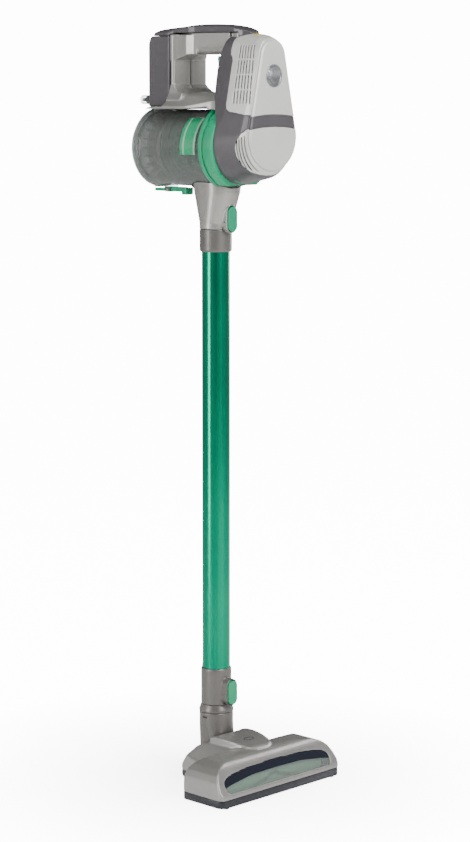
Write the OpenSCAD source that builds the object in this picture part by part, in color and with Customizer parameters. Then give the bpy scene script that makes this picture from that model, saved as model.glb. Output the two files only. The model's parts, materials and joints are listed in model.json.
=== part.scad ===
// Cordless stick vacuum with a removable handheld unit, millimetres.
// X is the width of the floor head, -Y is its front, Z is up, floor at Z = 0.
// The wand axis is the line X = 0, Y = 0.

/* [Wand] */
// Outer diameter of the wand tube
tube_d = 40; // [32:0.5:50]
// Wall of the wand tube
tube_wall = 1.5; // [1:0.1:3]
// Bottom of the lower collar
low_z = 108.3; // [104:0.1:112]
// Top of the lower collar
low_top = 161.5; // [150:0.5:175]
// Bottom of the upper collar
up_z = 763; // [600:1:780]
// Seam between wand and handheld
seam_z = 795; // [780:1:810]
// Radius of the two spigots
spig_r = 17.4; // [15:0.1:18]
// Slide clearance on the spigots
slide_c = 0.05; // [0.02:0.01:0.1]

/* [Floor head] */
// Half width of the floor head
head_hw = 122.5; // [100:1:140]
// Front edge of the floor head
head_front = -134; // [-150:1:-120]
// Height of the brush axis
brush_z = 20.5; // [18:0.5:26]
// Distance of the brush axis from the wand axis
brush_y = -103; // [-110:1:-95]
// Radius of the bristle tips
bristle_r = 18; // [14:0.5:20]
// Radius of the brush core
core_r = 12.5; // [8:0.5:14]
// Recline pivot, distance from wand axis
piv_y = -3; // [-8:0.5:4]
// Recline pivot height
piv_z = 36; // [30:0.5:44]
// Rear wheel radius
wheel_r = 7.5; // [6:0.5:9]

/* [Dust cup] */
// Height of the cup and motor axis
cup_z = 908; // [880:1:930]
// Outer radius of the clear cup
cup_r = 53.8; // [45:0.5:60]
// Wall of the clear cup
cup_wall = 2.5; // [1.5:0.1:4]
// Radius of the green ring
ring_r = 61; // [56:0.5:68]
// Face of the ring towards the cup
ring_y = -24; // [-30:0.5:-20]
// Radius of the cup rim and door
rim_r = 56.5; // [50:0.5:62]

/* [Handle] */
// Half width of the grip
grip_hw = 17; // [13:0.5:22]
// Underside of the grip
grip_z = 1038; // [1030:1:1046]
// Front face of the battery column
col_y = 50; // [46:0.5:56]
// Rear face of the battery
batt_y = 104; // [98:0.5:110]
// Half width of the battery
batt_hw = 35; // [30:0.5:42]

/* [Hidden] */
$fn = 72;
tube_r = tube_d / 2;
tube_ir = tube_r - tube_wall;
e = 0.01;
ring_f = -52;
ring_cz = 911;
box_w = 20.4;
but_w = 17.4;
btn_h = 39.5;

// ---------- helpers ----------
module xcyl(x0, x1, y, z, r) { translate([x0, y, z]) rotate([0, 90, 0]) cylinder(h = x1 - x0, r = r); }
module ycyl(y0, y1, x, z, r) { translate([x, y0, z]) rotate([-90, 0, 0]) cylinder(h = y1 - y0, r = r); }
module zcyl(z0, z1, x, y, r) { translate([x, y, z0]) cylinder(h = z1 - z0, r = r); }
module bx(x0, x1, y0, y1, z0, z1) { translate([x0, y0, z0]) cube([x1 - x0, y1 - y0, z1 - z0]); }
module yz(x0, x1) { translate([x0, 0, 0]) rotate([90, 0, 90]) linear_extrude(height = x1 - x0) children(); }
module xz(y0, y1) { translate([0, y1, 0]) rotate([90, 0, 0]) linear_extrude(height = y1 - y0) children(); }
module xy(z0, z1) { translate([0, 0, z0]) linear_extrude(height = z1 - z0) children(); }
module both() { children(); mirror([1, 0, 0]) children(); }
// Rounded rectangle, centred
module rr(w, h, r) {
  square([w - 2 * r, h], center = true);
  square([w, h - 2 * r], center = true);
  for (i = [-1, 1], j = [-1, 1]) translate([i * (w / 2 - r), j * (h / 2 - r)]) circle(r = r);
}
// Upright oblong
module oblong(w, h) {
  square([w, h - w], center = true);
  for (j = [-1, 1]) translate([0, j * (h - w) / 2]) circle(d = w);
}
// Two circles joined by their tangents, in X and Z
module drop(r1, z1, r2, z2) {
  s = (r1 - r2) / (z2 - z1);
  c = sqrt(1 - s * s);
  translate([0, z1]) circle(r = r1);
  translate([0, z2]) circle(r = r2);
  polygon([[-r1 * c, z1 + r1 * s], [r1 * c, z1 + r1 * s], [r2 * c, z2 + r2 * s], [-r2 * c, z2 + r2 * s]]);
}
module ring_y2(y0, y1, z, ro, ri) {
  difference() {
    ycyl(y0, y1, 0, z, ro);
    ycyl(y0 - 1, y1 + 1, 0, z, ri);
  }
}
module ring_z2(z0, z1, ro, ri) {
  difference() {
    zcyl(z0, z1, 0, 0, ro);
    zcyl(z0 - 1, z1 + 1, 0, 0, ri);
  }
}

// ---------- floor head ----------
// Mirror a list of points from one half to the other half
function halves(p) = concat(p, [for (i = [len(p) - 1 : -1 : 0]) [-p[i][0], p[i][1]]]);

module bar_plan(g) {
  polygon(halves([[0, head_front + g], [head_hw - 8, head_front + g], [head_hw - 3 - g, head_front + 3 + g],
    [head_hw - g, head_front + 9], [head_hw - g, -61], [head_hw - 2 - g, -55], [head_hw - 7, -52 - g],
    [0, -52 - g]]));
}
module tail_plan(g) {
  polygon(halves([[0, -66], [76 - g, -66], [68 - g, -50], [60 - g, -34], [54.5 - g, -14], [51 - g, 8],
    [49.5 - g, 20], [46 - g, 26 - g], [0, 26 - g]]));
}
module bar_side(g) {
  polygon([[-133.4 + g, 12.3 - 2 * g], [-133 + g, 15], [-131.3 + g, 19.5], [-115 + g, 46 - 0.6 * g],
    [-112.6 + 0.9 * g, 49.1 - 0.8 * g], [-108.6 + 0.8 * g, 52.6 - g], [-103 + 0.4 * g, 55.8 - g], [-96, 58.2 - g],
    [-88, 59.6 - g], [-80, 60 - g],
    [-70 - 0.3 * g, 58.6 - g], [-62 - 0.6 * g, 54.5 - g], [-56.5 - g, 47], [-53.5 - g, 36],
    [-52.3 - g, 24], [-52.2 - g, 12.3 - 2 * g]]);
}
module bar_front(g) {
  polygon(halves([[0, 12.3 - 2 * g], [head_hw - 0.2 - g, 12.3 - 2 * g], [head_hw - 1 - g, 24],
    [head_hw - 3.6 - g, 35], [head_hw - 8.6 - g, 44.5 - g / 2], [head_hw - 17 - g, 51.4 - g],
    [head_hw - 31, 56 - g], [60, 58.8 - g], [30, 60.2 - g], [0, 60.6 - g]]));
}
module tail_side(g) {
  polygon([[-70, 12.3 - 2 * g], [-70, 55 - g], [-60, 57.4 - g], [-45, 59.4 - g], [-34, 60.4 - g],
    [-24, 60.4 - g], [-12, 58 - g], [0, 51 - g], [11, 38.5 - g], [19, 27 - g], [24.5 - g, 20.6 - g],
    [25.8 - g, 17], [25.8 - g, 12.3 - 2 * g]]);
}
module tail_front(g) {
  polygon(halves([[0, 12.3 - 2 * g], [77 - g, 12.3 - 2 * g], [70 - g, 17], [60 - g, 25], [50.5 - g, 36],
    [43 - g, 47.5], [36.5 - g, 56 - g / 2], [30, 60 - g], [22, 61.5 - g], [0, 62 - g]]));
}
module tongue_plan() {
  polygon(halves([[0, -96], [10, -95], [18, -92], [24, -86.5], [28, -78], [32, -62], [34, -44], [34, -20],
    [0, -20]]));
}
module tongue_side() {
  polygon([[-97, 40], [-97, 57], [-94, 60], [-88, 62.4], [-76, 65], [-60, 67.4], [-46, 68.8],
    [-34, 69], [-27, 68], [-20, 66], [-20, 40]]);
}
module window2d(g) {
  polygon(halves([[0, 19.6 + g], [101 - g, 19.6 + g], [104.5 - g, 22 + g], [106.2 - g, 27], [106.2 - g, 32.5],
    [103.4 - g, 37 - g / 2], [96, 40 - g], [78, 43 - g], [50, 45.4 - g], [0, 46.4 - g]]));
}
module band2d(g) {
  polygon(halves([[0, 36.2 + g], [50, 35.4 + g], [90, 31 + g], [120, 26 + g], [120, 60], [0, 60]]));
}
module face_strip(a, b) {
  n = [0.8557, -0.5175];
  p = [-132.2, 18];
  q = [-114.4, 47.4];
  yz(-head_hw, head_hw) polygon([p + a * n, q + a * n, q + b * n, p + b * n]);
}
module neck_slot() { bx(-26, 26, -26.4, 40, -5, 80); }

module head_base() {
  color([0.12, 0.13, 0.16]) difference() {
    union() {
      xy(2, 12.3) bar_plan(0.6);
      xy(4.5, 12.3) tail_plan(0.6);
    }
    // brush mouth and belt bay, pan behind the mouth
    bx(-101, 101, -121.5, -84.5, 0, 20);
    bx(101, 112, -117, -58, 5, 20);
    bx(-112, -101, -117, -92, 5, 20);
    bx(-99, 99, -82, -57, 4.6, 20);
    // sole channel that leads air to the mouth
    bx(-70, 70, -84.6, -80, 0, 3.2);
    neck_slot();
    // wheel wells and axle holes
    both() bx(33.6, 46.4, 9.7, 29, -1, 20);
    both() xcyl(30, 48.4, 19, wheel_r, 1.5);
    // screw pockets
    for (p = screw_at()) zcyl(1, 6, p[0], p[1], 3.6);
    for (p = screw_at()) zcyl(1, 20, p[0], p[1], 1.7);
    // brush cap seats
    both() bx(107.2, 112, -113, -93, 4.8, 20);
    // glide seats
    both() zcyl(-1, 4.2, 108, -127.5, 4);
  }
}
function screw_at() = [[-116.6, -76], [116.6, -76], [-44, -40], [44, -40], [-62, -126.6], [62, -126.6]];

module head_cover() {
  color([0.58, 0.56, 0.55]) difference() {
    union() {
      intersection() {
        yz(-head_hw, head_hw) bar_side(0);
        xz(-140, -40) bar_front(0);
        xy(12.3, 70) bar_plan(0);
      }
      intersection() {
        yz(-80, 80) tail_side(0);
        xz(-80, 40) tail_front(0);
        xy(12.3, 70) tail_plan(0);
      }
      intersection() {
        yz(-40, 40) tongue_side();
        xy(40, 70) tongue_plan();
      }
    }
    // inner room of the bar and of the tail
    intersection() {
      yz(-head_hw, head_hw) bar_side(2.6);
      xz(-140, -40) bar_front(2.6);
      xy(10, 70) bar_plan(2.6);
    }
    intersection() {
      yz(-80, 80) tail_side(3);
      xz(-80, 40) tail_front(3);
      xy(10, 70) tail_plan(3);
      bx(-90, 90, -68, -30, 10, 70);
    }
    both() intersection() {
      yz(30, 80) tail_side(3);
      xz(-80, 40) tail_front(3);
      xy(10, 70) tail_plan(3);
      bx(35, 60, -30, 6, 10, 70);
    }
    neck_slot();
    // window and the step its frame sits in
    intersection() {
      xz(-140, -100) window2d(0);
      face_strip(-12, 8);
    }
    // badge seat
    xy(63.95, 75) translate([0, -66]) rotate([0, 0, 90]) difference() {
      oblong(9.1, 17.1);
      oblong(6.5, 14.5);
    }
    // air duct, wheel wells and bores
    ycyl(-36, -20, 0, 33, 17.2);
    both() bx(33.6, 46.4, 8, 29, 0, 16.4);
    both() xcyl(30, 48.4, 19, wheel_r, 1.5);
    both() xcyl(25, 33, piv_y, piv_z, 5);
    for (p = screw_at()) zcyl(10, 19, p[0], p[1], 1.5);
  }
}
module window_lens() {
  color([0.75, 0.85, 0.8, 0.35]) difference() {
    intersection() {
      xz(-140, -100) window2d(0.05);
      face_strip(0.7, 2.6);
    }
    xz(-140, -100) band2d(0);
  }
}
module window_trim() {
  color([0.07, 0.09, 0.14]) intersection() {
    xz(-140, -100) window2d(0.05);
    face_strip(0.5, 2.6);
    xz(-140, -100) band2d(0.05);
  }
}
module front_glides() {
  color([0.1, 0.1, 0.1]) both() zcyl(0, 4.2, 108, -127.5, 4);
}
module base_screws() {
  color([0.5, 0.5, 0.5]) for (p = screw_at()) difference() {
    union() {
      zcyl(3.6, 6, p[0], p[1], 3.4);
      zcyl(6, 18, p[0], p[1], 1.5);
    }
    translate([p[0], p[1], 3]) for (a = [0, 90]) rotate([0, 0, a]) cube([4, 0.9, 3], center = true);
  }
}
module brush_motor() {
  color([0.35, 0.35, 0.37]) {
    xcyl(30, 92, -69, 30, 12);
    xcyl(24, 30, -69, 30, 6);
    bx(40, 84, -80, -58, 12.3, 19.5);
    xcyl(92, 98, -69, 30, 4);
  }
}
module drive_belt() {
  color([0.08, 0.08, 0.08]) difference() {
    yz(102.4, 106.6) belt2d(8.6, 5.2);
    yz(102, 108) belt2d(7.6, 4.2);
  }
}
module belt2d(ra, rb) {
  a = [brush_y, brush_z];
  b = [-69, 30];
  d = norm(b - a);
  u = (b - a) / d;
  v = [-u[1], u[0]];
  s = (ra - rb) / d;
  c = sqrt(1 - s * s);
  translate(a) circle(r = ra);
  translate(b) circle(r = rb);
  polygon([a + ra * (s * u + c * v), b + rb * (s * u + c * v), b + rb * (s * u - c * v),
    a + ra * (s * u - c * v)]);
}
module suction_duct() {
  color([0.15, 0.15, 0.17]) difference() {
    union() {
      ycyl(-81, -27.2, 0, 33, 17);
      bx(-26, 26, -83.4, -79.5, 14, 46);
    }
    ycyl(-90, -20, 0, 33, 14.6);
  }
}
module brush_end_caps() {
  color([0.15, 0.15, 0.17]) both() difference() {
    bx(107.4, 111.8, -112, -94, 4.8, 29);
    xcyl(103, 114, brush_y, brush_z, 3.05);
  }
}
module head_pins() {
  color([0.7, 0.7, 0.72]) {
    both() xcyl(30.2, 48.2, 19, wheel_r, 1.5);
    both() xcyl(21, 32.6, piv_y, piv_z, 5);
  }
}
module head_badge() {
  color([0.12, 0.12, 0.14]) difference() {
    xy(64, 67.6) translate([0, -66]) rotate([0, 0, 90]) oblong(9, 17);
    xy(60, 70) translate([0, -66]) rotate([0, 0, 90]) oblong(6.6, 14.6);
    yz(-20, 20) polygon([[-80, 64.9], [-76, 65.5], [-60, 67.9], [-50, 69], [-50, 75], [-80, 75]]);
  }
}
module brush_core() {
  color([0.3, 0.65, 0.5]) union() {
    xcyl(-99, 99, brush_y, brush_z, core_r);
    xcyl(-111.4, -99, brush_y, brush_z, 3);
    xcyl(99, 111.4, brush_y, brush_z, 3);
  }
}
module bristle_rows() {
  n = 16;
  w = 196 / n;
  color([0.62, 0.78, 0.68]) difference() {
    for (i = [0 : n - 1], k = [0, 120, 240])
      translate([-98 + w * (i + 0.5), brush_y, brush_z])
        rotate([k + 15 * abs(i - (n - 1) / 2), 0, 0])
          translate([-w / 2, -1.6, core_r - 1]) cube([w + (i < n - 1 ? 0.4 : 0), 3.2, bristle_r - core_r + 1]);
    xcyl(-110, 110, brush_y, brush_z, core_r);
  }
}
module brush_pulley() {
  color([0.2, 0.2, 0.22]) difference() {
    union() {
      xcyl(101.2, 102.4, brush_y, brush_z, 9.4);
      xcyl(102.4, 106.8, brush_y, brush_z, 7.55);
    }
    xcyl(90, 110, brush_y, brush_z, 3);
  }
}
module motor_pulley() {
  color([0.75, 0.65, 0.35]) union() {
    xcyl(98.3, 102.3, -69, 30, 5.6);
    xcyl(102.3, 106.8, -69, 30, 4.15);
  }
}
module wheel_left() { rear_wheel(-1); }
module wheel_right() { rear_wheel(1); }
module rear_wheel(s) {
  color([0.1, 0.1, 0.11]) difference() {
    union() {
      xcyl(s * 40 - 5.4, s * 40 + 5.4, 19, wheel_r, wheel_r - 0.8);
      xcyl(s * 40 - 4.2, s * 40 + 4.2, 19, wheel_r, wheel_r);
    }
    xcyl(s * 40 - 6, s * 40 + 6, 19, wheel_r, 1.55);
  }
}

// ---------- neck and swivel ----------
module neck_elbow() {
  color([0.48, 0.47, 0.46]) difference() {
    union() {
      zcyl(76, 97, 0, 0, 24.5);
      hull() {
        zcyl(76, 78, 0, 0, 24.5, $fn = 48);
        xcyl(-19, 19, piv_y, piv_z, 16.5, $fn = 48);
      }
      xcyl(-25.5, 25.5, piv_y, piv_z, 13);
    }
    zcyl(66, 98, 0, 0, 18);
    zcyl(84, 98, 0, 0, 21);
    translate([0, 0, 36]) cylinder(h = 30.1, r1 = 11, r2 = 18);
    ycyl(-40, 0, 0, 34, 12);
    both() xcyl(20.6, 26, piv_y, piv_z, 5.05);
    // catch slot of the swivel lock
    bx(-26, -23.4, -5, 3.6, 89, 91);
  }
}
module swivel_ring() {
  color([0.5, 0.49, 0.48]) difference() {
    translate([0, 0, 97.3]) union() {
      cylinder(h = 2.7, r = 25);
      translate([0, 0, 2.7]) cylinder(h = 7.3, r1 = 25, r2 = 22.2);
      translate([0, 0, 10]) cylinder(h = 0.7, r = 22.2);
    }
    zcyl(90, 120, 0, 0, 18.6);
  }
}
module neck_spigot() {
  color([0.4, 0.4, 0.41]) difference() {
    union() {
      zcyl(84.6, 97.3, 0, 0, 20.95);
      zcyl(97.3, 108, 0, 0, 18.6);
      zcyl(108, 166, 0, 0, spig_r);
      }
    zcyl(80, 170, 0, 0, 15.2);
    // seal groove and catch window
    ring_z2(154, 157, 20, 16.2);
    bx(-3.6, 3.6, -19, -14, 113.6, 119.8);
  }
}
module spigot_seal() {
  color([0.08, 0.08, 0.08]) ring_z2(154.2, 156.8, 17.35, 16.2);
}

// ---------- wand ----------
// Oblong box with a rocker pocket, on the front of a collar
module rocker_box(z0, back) { xz(-32.5, back) translate([0, z0 + btn_h / 2]) oblong(box_w, btn_h); }
module rocker_room(z0) {
  xz(-50, -23.2) translate([0, z0 + btn_h / 2]) oblong(but_w + 0.6, btn_h - 2.4);
  xcyl(-20, 20, -26.8, z0 + 15.5, 1.55);
  bx(-3.4, 3.4, -26, -14, z0 + 5, z0 + 10.6);
}
module rocker(z0) {
  difference() {
    union() {
      xz(-34.6, -27.5) translate([0, z0 + btn_h / 2]) oblong(but_w, btn_h - 4.4);
      bx(-5, 5, -27.6, -25.3, z0 + 5, z0 + btn_h - 6);
      bx(-3, 3, -25.4, -17.6, z0 + 7, z0 + 10.2);
      xcyl(-10.1, 10.1, -26.8, z0 + 15.5, 1.5);
    }
  }
}
module wand_tube() {
  color([0, 0.62, 0.42]) ring_z2(119, 792, tube_r, tube_ir);
}
module wand_lower_collar() {
  color([0.52, 0.51, 0.5]) difference() {
    union() {
      zcyl(low_z, low_top - 2.5, 0, 0, 22);
      translate([0, 0, low_top - 2.5]) cylinder(h = 2.5, r1 = 22, r2 = 21.2);
      rocker_box(low_z + 0.5, -19);
      // wire rib with its arched head
      yz(-5, 5) polygon([[18.6, low_z + 0.6], [23.4, low_z + 0.6], [25, low_z + 2.4], [25, low_top - 1],
        [24, low_top + 2.4], [21.8, low_top + 4.2], [18.6, low_top + 4.2]]);
    }
    zcyl(119, 180, 0, 0, tube_r);
    zcyl(100, 120, 0, 0, spig_r + slide_c);
    rocker_room(low_z);
    // wire pocket in the rib
    bx(-2, 2, 17, 23.2, 124, 158);
  }
}
module wand_upper_collar() {
  color([0.52, 0.51, 0.5]) difference() {
    union() {
      translate([0, 0, up_z]) cylinder(h = 2.5, r1 = 21.8, r2 = 23);
      zcyl(up_z + 2.5, seam_z - 0.2, 0, 0, 23);
      bx(-5, 5, 18, 26.4, up_z + 2, seam_z - 0.2);
    }
    zcyl(up_z - 5, 792, 0, 0, tube_r);
    zcyl(780, 800, 0, 0, tube_ir);
    bx(-2, 2, 17, 24, 770, 790);
  }
}
module wand_spigot() {
  color([0.4, 0.4, 0.41]) difference() {
    union() {
      zcyl(772, 794.9, 0, 0, tube_ir);
      zcyl(794.9, 842, 0, 0, spig_r);
    }
    zcyl(760, 850, 0, 0, 15.2);
    bx(-3.6, 3.6, -19, -14, 796.4, 801.4);
    zcyl(700, 850, 0, 16.6, 1.7);
  }
}
module wand_wire() {
  color([0.1, 0.1, 0.1]) zcyl(172, 794.8, 0, 16.6, 1.5);
}
module wand_button() { color([0, 0.6, 0.4]) rocker(low_z); }

// ---------- handheld: handle, column, saddle ----------
module saddle2d(g) {
  polygon(halves([[0, 962.4 + (g > 0 ? 2.6 : 0)], [48 - g, 962.4 + (g > 0 ? 2.6 : 0)], [50 - g, 964.6], [49.4 - g, 967],
    [45 - g, 970.4 - g / 2], [39 - g, 975.4 - g / 2], [33 - g, 980.4 - g], [26, 984 - g], [16, 986 - g], [0, 986.6 - g]]));
}
module loop_solid() {
  // saddle over the cup
  intersection() {
    xz(-62.3, 98) saddle2d(0);
    yz(-60, 60) polygon([[-62.3, 960], [-62.3, 981], [-30, 984], [0, 986], [18, 988], [50, 988], [58, 988],
      [58, 966], [84, 965.4], [98, 963.8], [98, 960]]);
    xy(950, 1000) polygon(halves([[0, -62.3], [39, -62.3], [40, -44], [40, -32], [45, -8], [49, 10], [50, 40], [50, 84], [46, 94],
      [38, 98], [0, 98]]));
  }
  // column front wall
  xy(975, 1064) translate([0, col_y + 4]) rr(2 * 33, 8, 3.5);
  // root of the grip
  intersection() {
    xy(1030, 1066) polygon(halves([[0, 58], [33, 58], [33, 53], [28, 46], [21, 38], [grip_hw, 26], [grip_hw, 20],
      [0, 20]]));
    yz(-40, 40) polygon([[58, 1030], [51, 1030], [46, 1033], [36, 1038], [20, 1038.4], [20, 1066], [58, 1066]]);
  }
  // foot of the column
  intersection() {
    xz(30, 58) polygon(halves([[0, 975], [42, 975], [36, 984], [33, 996], [0, 996]]));
    yz(-60, 60) polygon([[30, 975], [30, 985], [40, 987], [47, 992], [50, 996], [58, 996], [58, 975]]);
  }
  // grip
  xz(-44, 52) translate([0, grip_z + 15]) rr(2 * grip_hw, 30, 11);
  xz(-44, 52) translate([0, grip_z + 23.6]) square([2 * grip_hw, 12.8], center = true);
  // front post
  xy(972, 1068) translate([0, -41]) rr(25, 36, 5);
}
module loop_room() {
  intersection() {
    xz(-18, 46) saddle2d(3);
    bx(-60, 60, -30, 60, 973, 1000);
  }
  xz(-28, 60) translate([0, grip_z + 15.5]) rr(2 * grip_hw - 6, 23, 8);
  xy(990, 1063) translate([0, -42]) rr(19.4, 30, 1);
  bx(-12, 12, 44, 55.5, 1038, 1060);
}
module loop_body() {
  difference() {
    loop_solid();
    loop_room();
    ycyl(-80, ring_y + 0.3, 0, ring_cz, ring_r + 0.3);
    // lower edge that rises to the ring
    yz(-80, 80) polygon([[ring_y, 940], [22, 940], [22, 962.4], [ring_y, 965.5]]);
    // trigger slot in the front post
    bx(-7.4, 7.4, -32, -10, 1006.4, 1036.6);
    // seats of the handle screws
    for (p = case_at()) xcyl(grip_x(p) - 3, 60, p[0], p[1], 3.2);
    for (p = case_at()) xcyl(-6, 60, p[0], p[1], 1.4);
  }
}
function case_at() = [[-12, 1053], [34, 1053], [-51, 1020]];
function grip_x(p) = p[1] > 1030 ? grip_hw : 12.5;
module left_shell() {
  color([0.72, 0.72, 0.7]) intersection() {
    loop_body();
    bx(-80, -0.05, -80, 120, 900, 1090);
  }
}
module right_shell() {
  color([0.72, 0.72, 0.7]) intersection() {
    loop_body();
    bx(0.05, 80, -80, 120, 900, 1090);
  }
}
module case_screws() {
  color([0.3, 0.3, 0.32]) for (p = case_at()) {
    xcyl(grip_x(p) - 3, grip_x(p) - 1, p[0], p[1], 3.1);
    xcyl(-5, grip_x(p) - 3, p[0], p[1], 1.4);
  }
}
module spine_cover() {
  color([0.28, 0.27, 0.29]) difference() {
    intersection() {
      yz(-50, 50) polygon([[93.2, 1064.3], [90, 1067], [86, 1069.4], [80, 1071.6], [74, 1073], [66, 1074],
        [50, 1075.8], [38, 1077.6], [26, 1079.4], [14, 1080], [-10, 1080], [-28, 1079], [-46, 1076.4], [-62, 1072.8],
        [-74, 1069.6], [-78, 1068.2], [-78, 1055], [-44.3, 1055], [-44.3, 1068.3], [52.2, 1068.3], [52.2, 1066.3],
        [58.2, 1066.3], [58.2, 1064.3]]);
      xy(1050, 1085) polygon(halves([[0, 96], [batt_hw - 9, 96], [batt_hw - 3, 93], [batt_hw, 86], [batt_hw, 62],
        [33, 52], [27, 42], [21, 33], [17.8, 24], [17.2, 12], [17.2, -20], [18, -40], [18.6, -54], [15, -68],
        [8, -77], [0, -78]]));
      xz(-80, 110) polygon(halves([[0, 1050], [batt_hw, 1050], [batt_hw, 1068.6], [32.6, 1072.4], [28, 1075],
        [20, 1076.8], [16.4, 1077.6], [12, 1079.4], [7, 1080], [0, 1080]]));
    }
    pod_hull(-0.15);
    bx(-60, 60, -60, -30, 1040, 1068.3);
  }
}
module batt2d(g) {
  polygon([[58.3 + g, 966 + g], [58.3 + g, 1064 - g], [93.4 - g, 1064 - g], [97.6 - g, 1059], [100.8 - g, 1053],
    [102.8 - g, 1046.6], [103.8 - g, 1040], [batt_y - g, 1034], [batt_y - g, 972], [102 - g, 967.6 + g], [98, 966 + g]]);
}
module battery_housing() {
  color([0.28, 0.27, 0.29]) difference() {
    intersection() {
      yz(-batt_hw, batt_hw) batt2d(0);
      xy(950, 1080) union() {
        translate([0, 79]) rr(2 * batt_hw, 50, 9);
        bx2(-batt_hw, batt_hw, 54, 70);
      }
    }
    intersection() {
      yz(-batt_hw + 3, batt_hw - 3) batt2d(3);
      xy(950, 1080) translate([0, 78.5]) rr(2 * batt_hw - 6, 46, 6);
    }
    ycyl(95, 110, 24, 976, 5.05);
  }
}
module bx2(x0, x1, y0, y1) { translate([x0, y0]) square([x1 - x0, y1 - y0]); }
module battery_cells() {
  color([0.2, 0.45, 0.75]) for (i = [-1, 0, 1], j = [0, 1]) {
    zcyl(986, 1051, i * 19, 71 + j * 19, 9.1);
    zcyl(1051, 1052.6, i * 19, 71 + j * 19, 3);
  }
}
module charge_jack() {
  color([0.1, 0.1, 0.1]) difference() {
    union() {
      ycyl(92, 103.2, 24, 976, 5);
      bx(18, 30, 88, 97, 970, 982);
    }
    ycyl(95, 110, 24, 976, 2.75);
  }
}

// ---------- handheld: motor pod ----------
module pod_hull(g) {
  hull() {
    xz(-52, -36) drop(57.5 - g, 915, 25.4 - g, 1043.6, $fn = 72);
    xz(-98, -97) drop(51.6 - g, 919.4, 25.4 - g, 1038.5, $fn = 72);
    xz(-107 + g, -106 + g) drop(48 - g, 924, 24.8 - g, 1035.6, $fn = 72);
    xz(-108.4 + g, -108 + g) drop(46.6 - g, 925, 24 - g, 1035.4, $fn = 72);
  }
}
module rear_edge() {
  polygon([[-30, 800], [-52.1, 800], [-52.1, 936], [-50, 950], [-44, 966], [-40.6, 978], [-37.4, 1000],
    [-36.2, 1016], [-36.6, 1032], [-38.6, 1044], [-42, 1054], [-46, 1062], [-48, 1072], [-48, 1100], [-30, 1100]]);
}
module pod_shell_all() {
  difference() {
    pod_hull(0);
    pod_hull(2.8);
    yz(-90, 90) rear_edge();
    ycyl(-52.1, -30, 0, ring_cz, ring_r + 0.3);
    ycyl(-62.3, -40, 0, cup_z, 49);
    // room for the handle parts behind
    bx(-17.3, 17.3, -62.4, -30, 950, 1080);
    intersection() {
      xz(-63, -30) saddle2d(-0.3);
      bx(-40.3, 40.3, -62.6, -30, 950, 1000);
    }
  }
}
module upper_mask(g) {
  polygon([[-130, 955.4 + g], [-100, 955.6 + g], [-72, 960 + g], [-66.5 - g, 963.6], [-64.6 - g, 969], [-62 - g, 1030],
    [-60.6 - g, 1034], [-57 - g, 1037.6], [-56 - g, 1044], [-57.4 - g, 1057], [-61 - g, 1064], [-70, 1086.2],
    [-130, 1090]]);
}
module lower_mask(g) {
  polygon([[-130, 937 - g], [-106, 936.4 - g], [-99 - g, 931 - g], [-92 - g, 921.4], [-88.4 - g, 911], [-88.8 - g, 899],
    [-92.6 - g, 887.4], [-98 - g, 878 + g], [-104, 871 + g], [-130, 866 + g]]);
}
module slots_upper() {
  for (i = [0 : 5], k = [0 : 3])
    translate([0, -75.6 - 5.2 * i, 1000]) rotate([-3.4 - 0.3 * i, 0, 0])
      bx(16, 80, -1.15, 1.15, -29.5 + 20.5 * k, -29.5 + 20.5 * k + 18.4);
}
module slots_lower() {
  for (i = [0 : 3]) translate([0, -92 - 3.9 * i, 0]) bx(20, 80, -0.95, 0.95, 886 - 3 * i, 922 + 2 * i);
}
module pod_housing() {
  color([0.28, 0.27, 0.29]) difference() {
    pod_shell_all();
    yz(-80, 80) upper_mask(0);
    yz(-80, 80) lower_mask(0);
    bx(-30, 30, -80, -30, 1068.6, 1090);
  }
}
module pod_front_shell() {
  color([0.74, 0.74, 0.72]) difference() {
    intersection() {
      pod_shell_all();
      union() {
        yz(-80, 80) upper_mask(0.15);
        yz(-80, 80) lower_mask(0.15);
      }
    }
    both() slots_upper();
    both() slots_lower();
    bx(-30, 30, -78.4, -30, 1068.6, 1090);
    translate([0, -86, 1064.2]) rotate([6, 0, 0]) bx(-7, 7, -7, 7, -6, 6);
  }
}
module indicator_lens() {
  color([0.95, 0.85, 0.2]) intersection() {
    translate([0, -86, 1064.2]) rotate([6, 0, 0]) bx(-7, 7, -7, 7, -1.6, 2.6);
    pod_hull(-0.4);
  }
}
module plate2d(g) { drop(46.4 - g, 925.4, 23.8 - g, 1034.4); }
// Curved band across the plate
module band_xz(g) {
  xz(-120, -100) polygon(halves([[0, 939.4 - g], [20, 938.8 - g], [36, 937.2 - g], [60, 933.4 - g], [60, 950 + g],
    [36, 953.8 + g], [20, 955.6 + g], [0, 956.2 + g]]));
}
module face_plate() {
  color([0.76, 0.76, 0.74]) difference() {
    union() {
      xz(-111.6, -108.6) plate2d(0);
      xz(-112.8, -111.4) plate2d(1.6);
    }
    band_xz(0.15);
    // badge seat
    ycyl(-125, -111.8, 0, 1008.5, 15.6);
  }
}
module name_band() {
  color([0.2, 0.2, 0.23]) intersection() {
    union() {
      xz(-111.4, -108.6) plate2d(0.2);
      xz(-112.2, -111.2) plate2d(1.8);
    }
    band_xz(0);
  }
}
module badge() {
  color([0.6, 0.62, 0.64]) {
    difference() {
      ycyl(-113.8, -111.8, 0, 1008.5, 15.5);
      ring_y2(-115, -112.9, 1008.5, 13.4, 12.4);
    }
    ycyl(-114.4, -113.8, 0, 1008.5, 9);
  }
}
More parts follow.
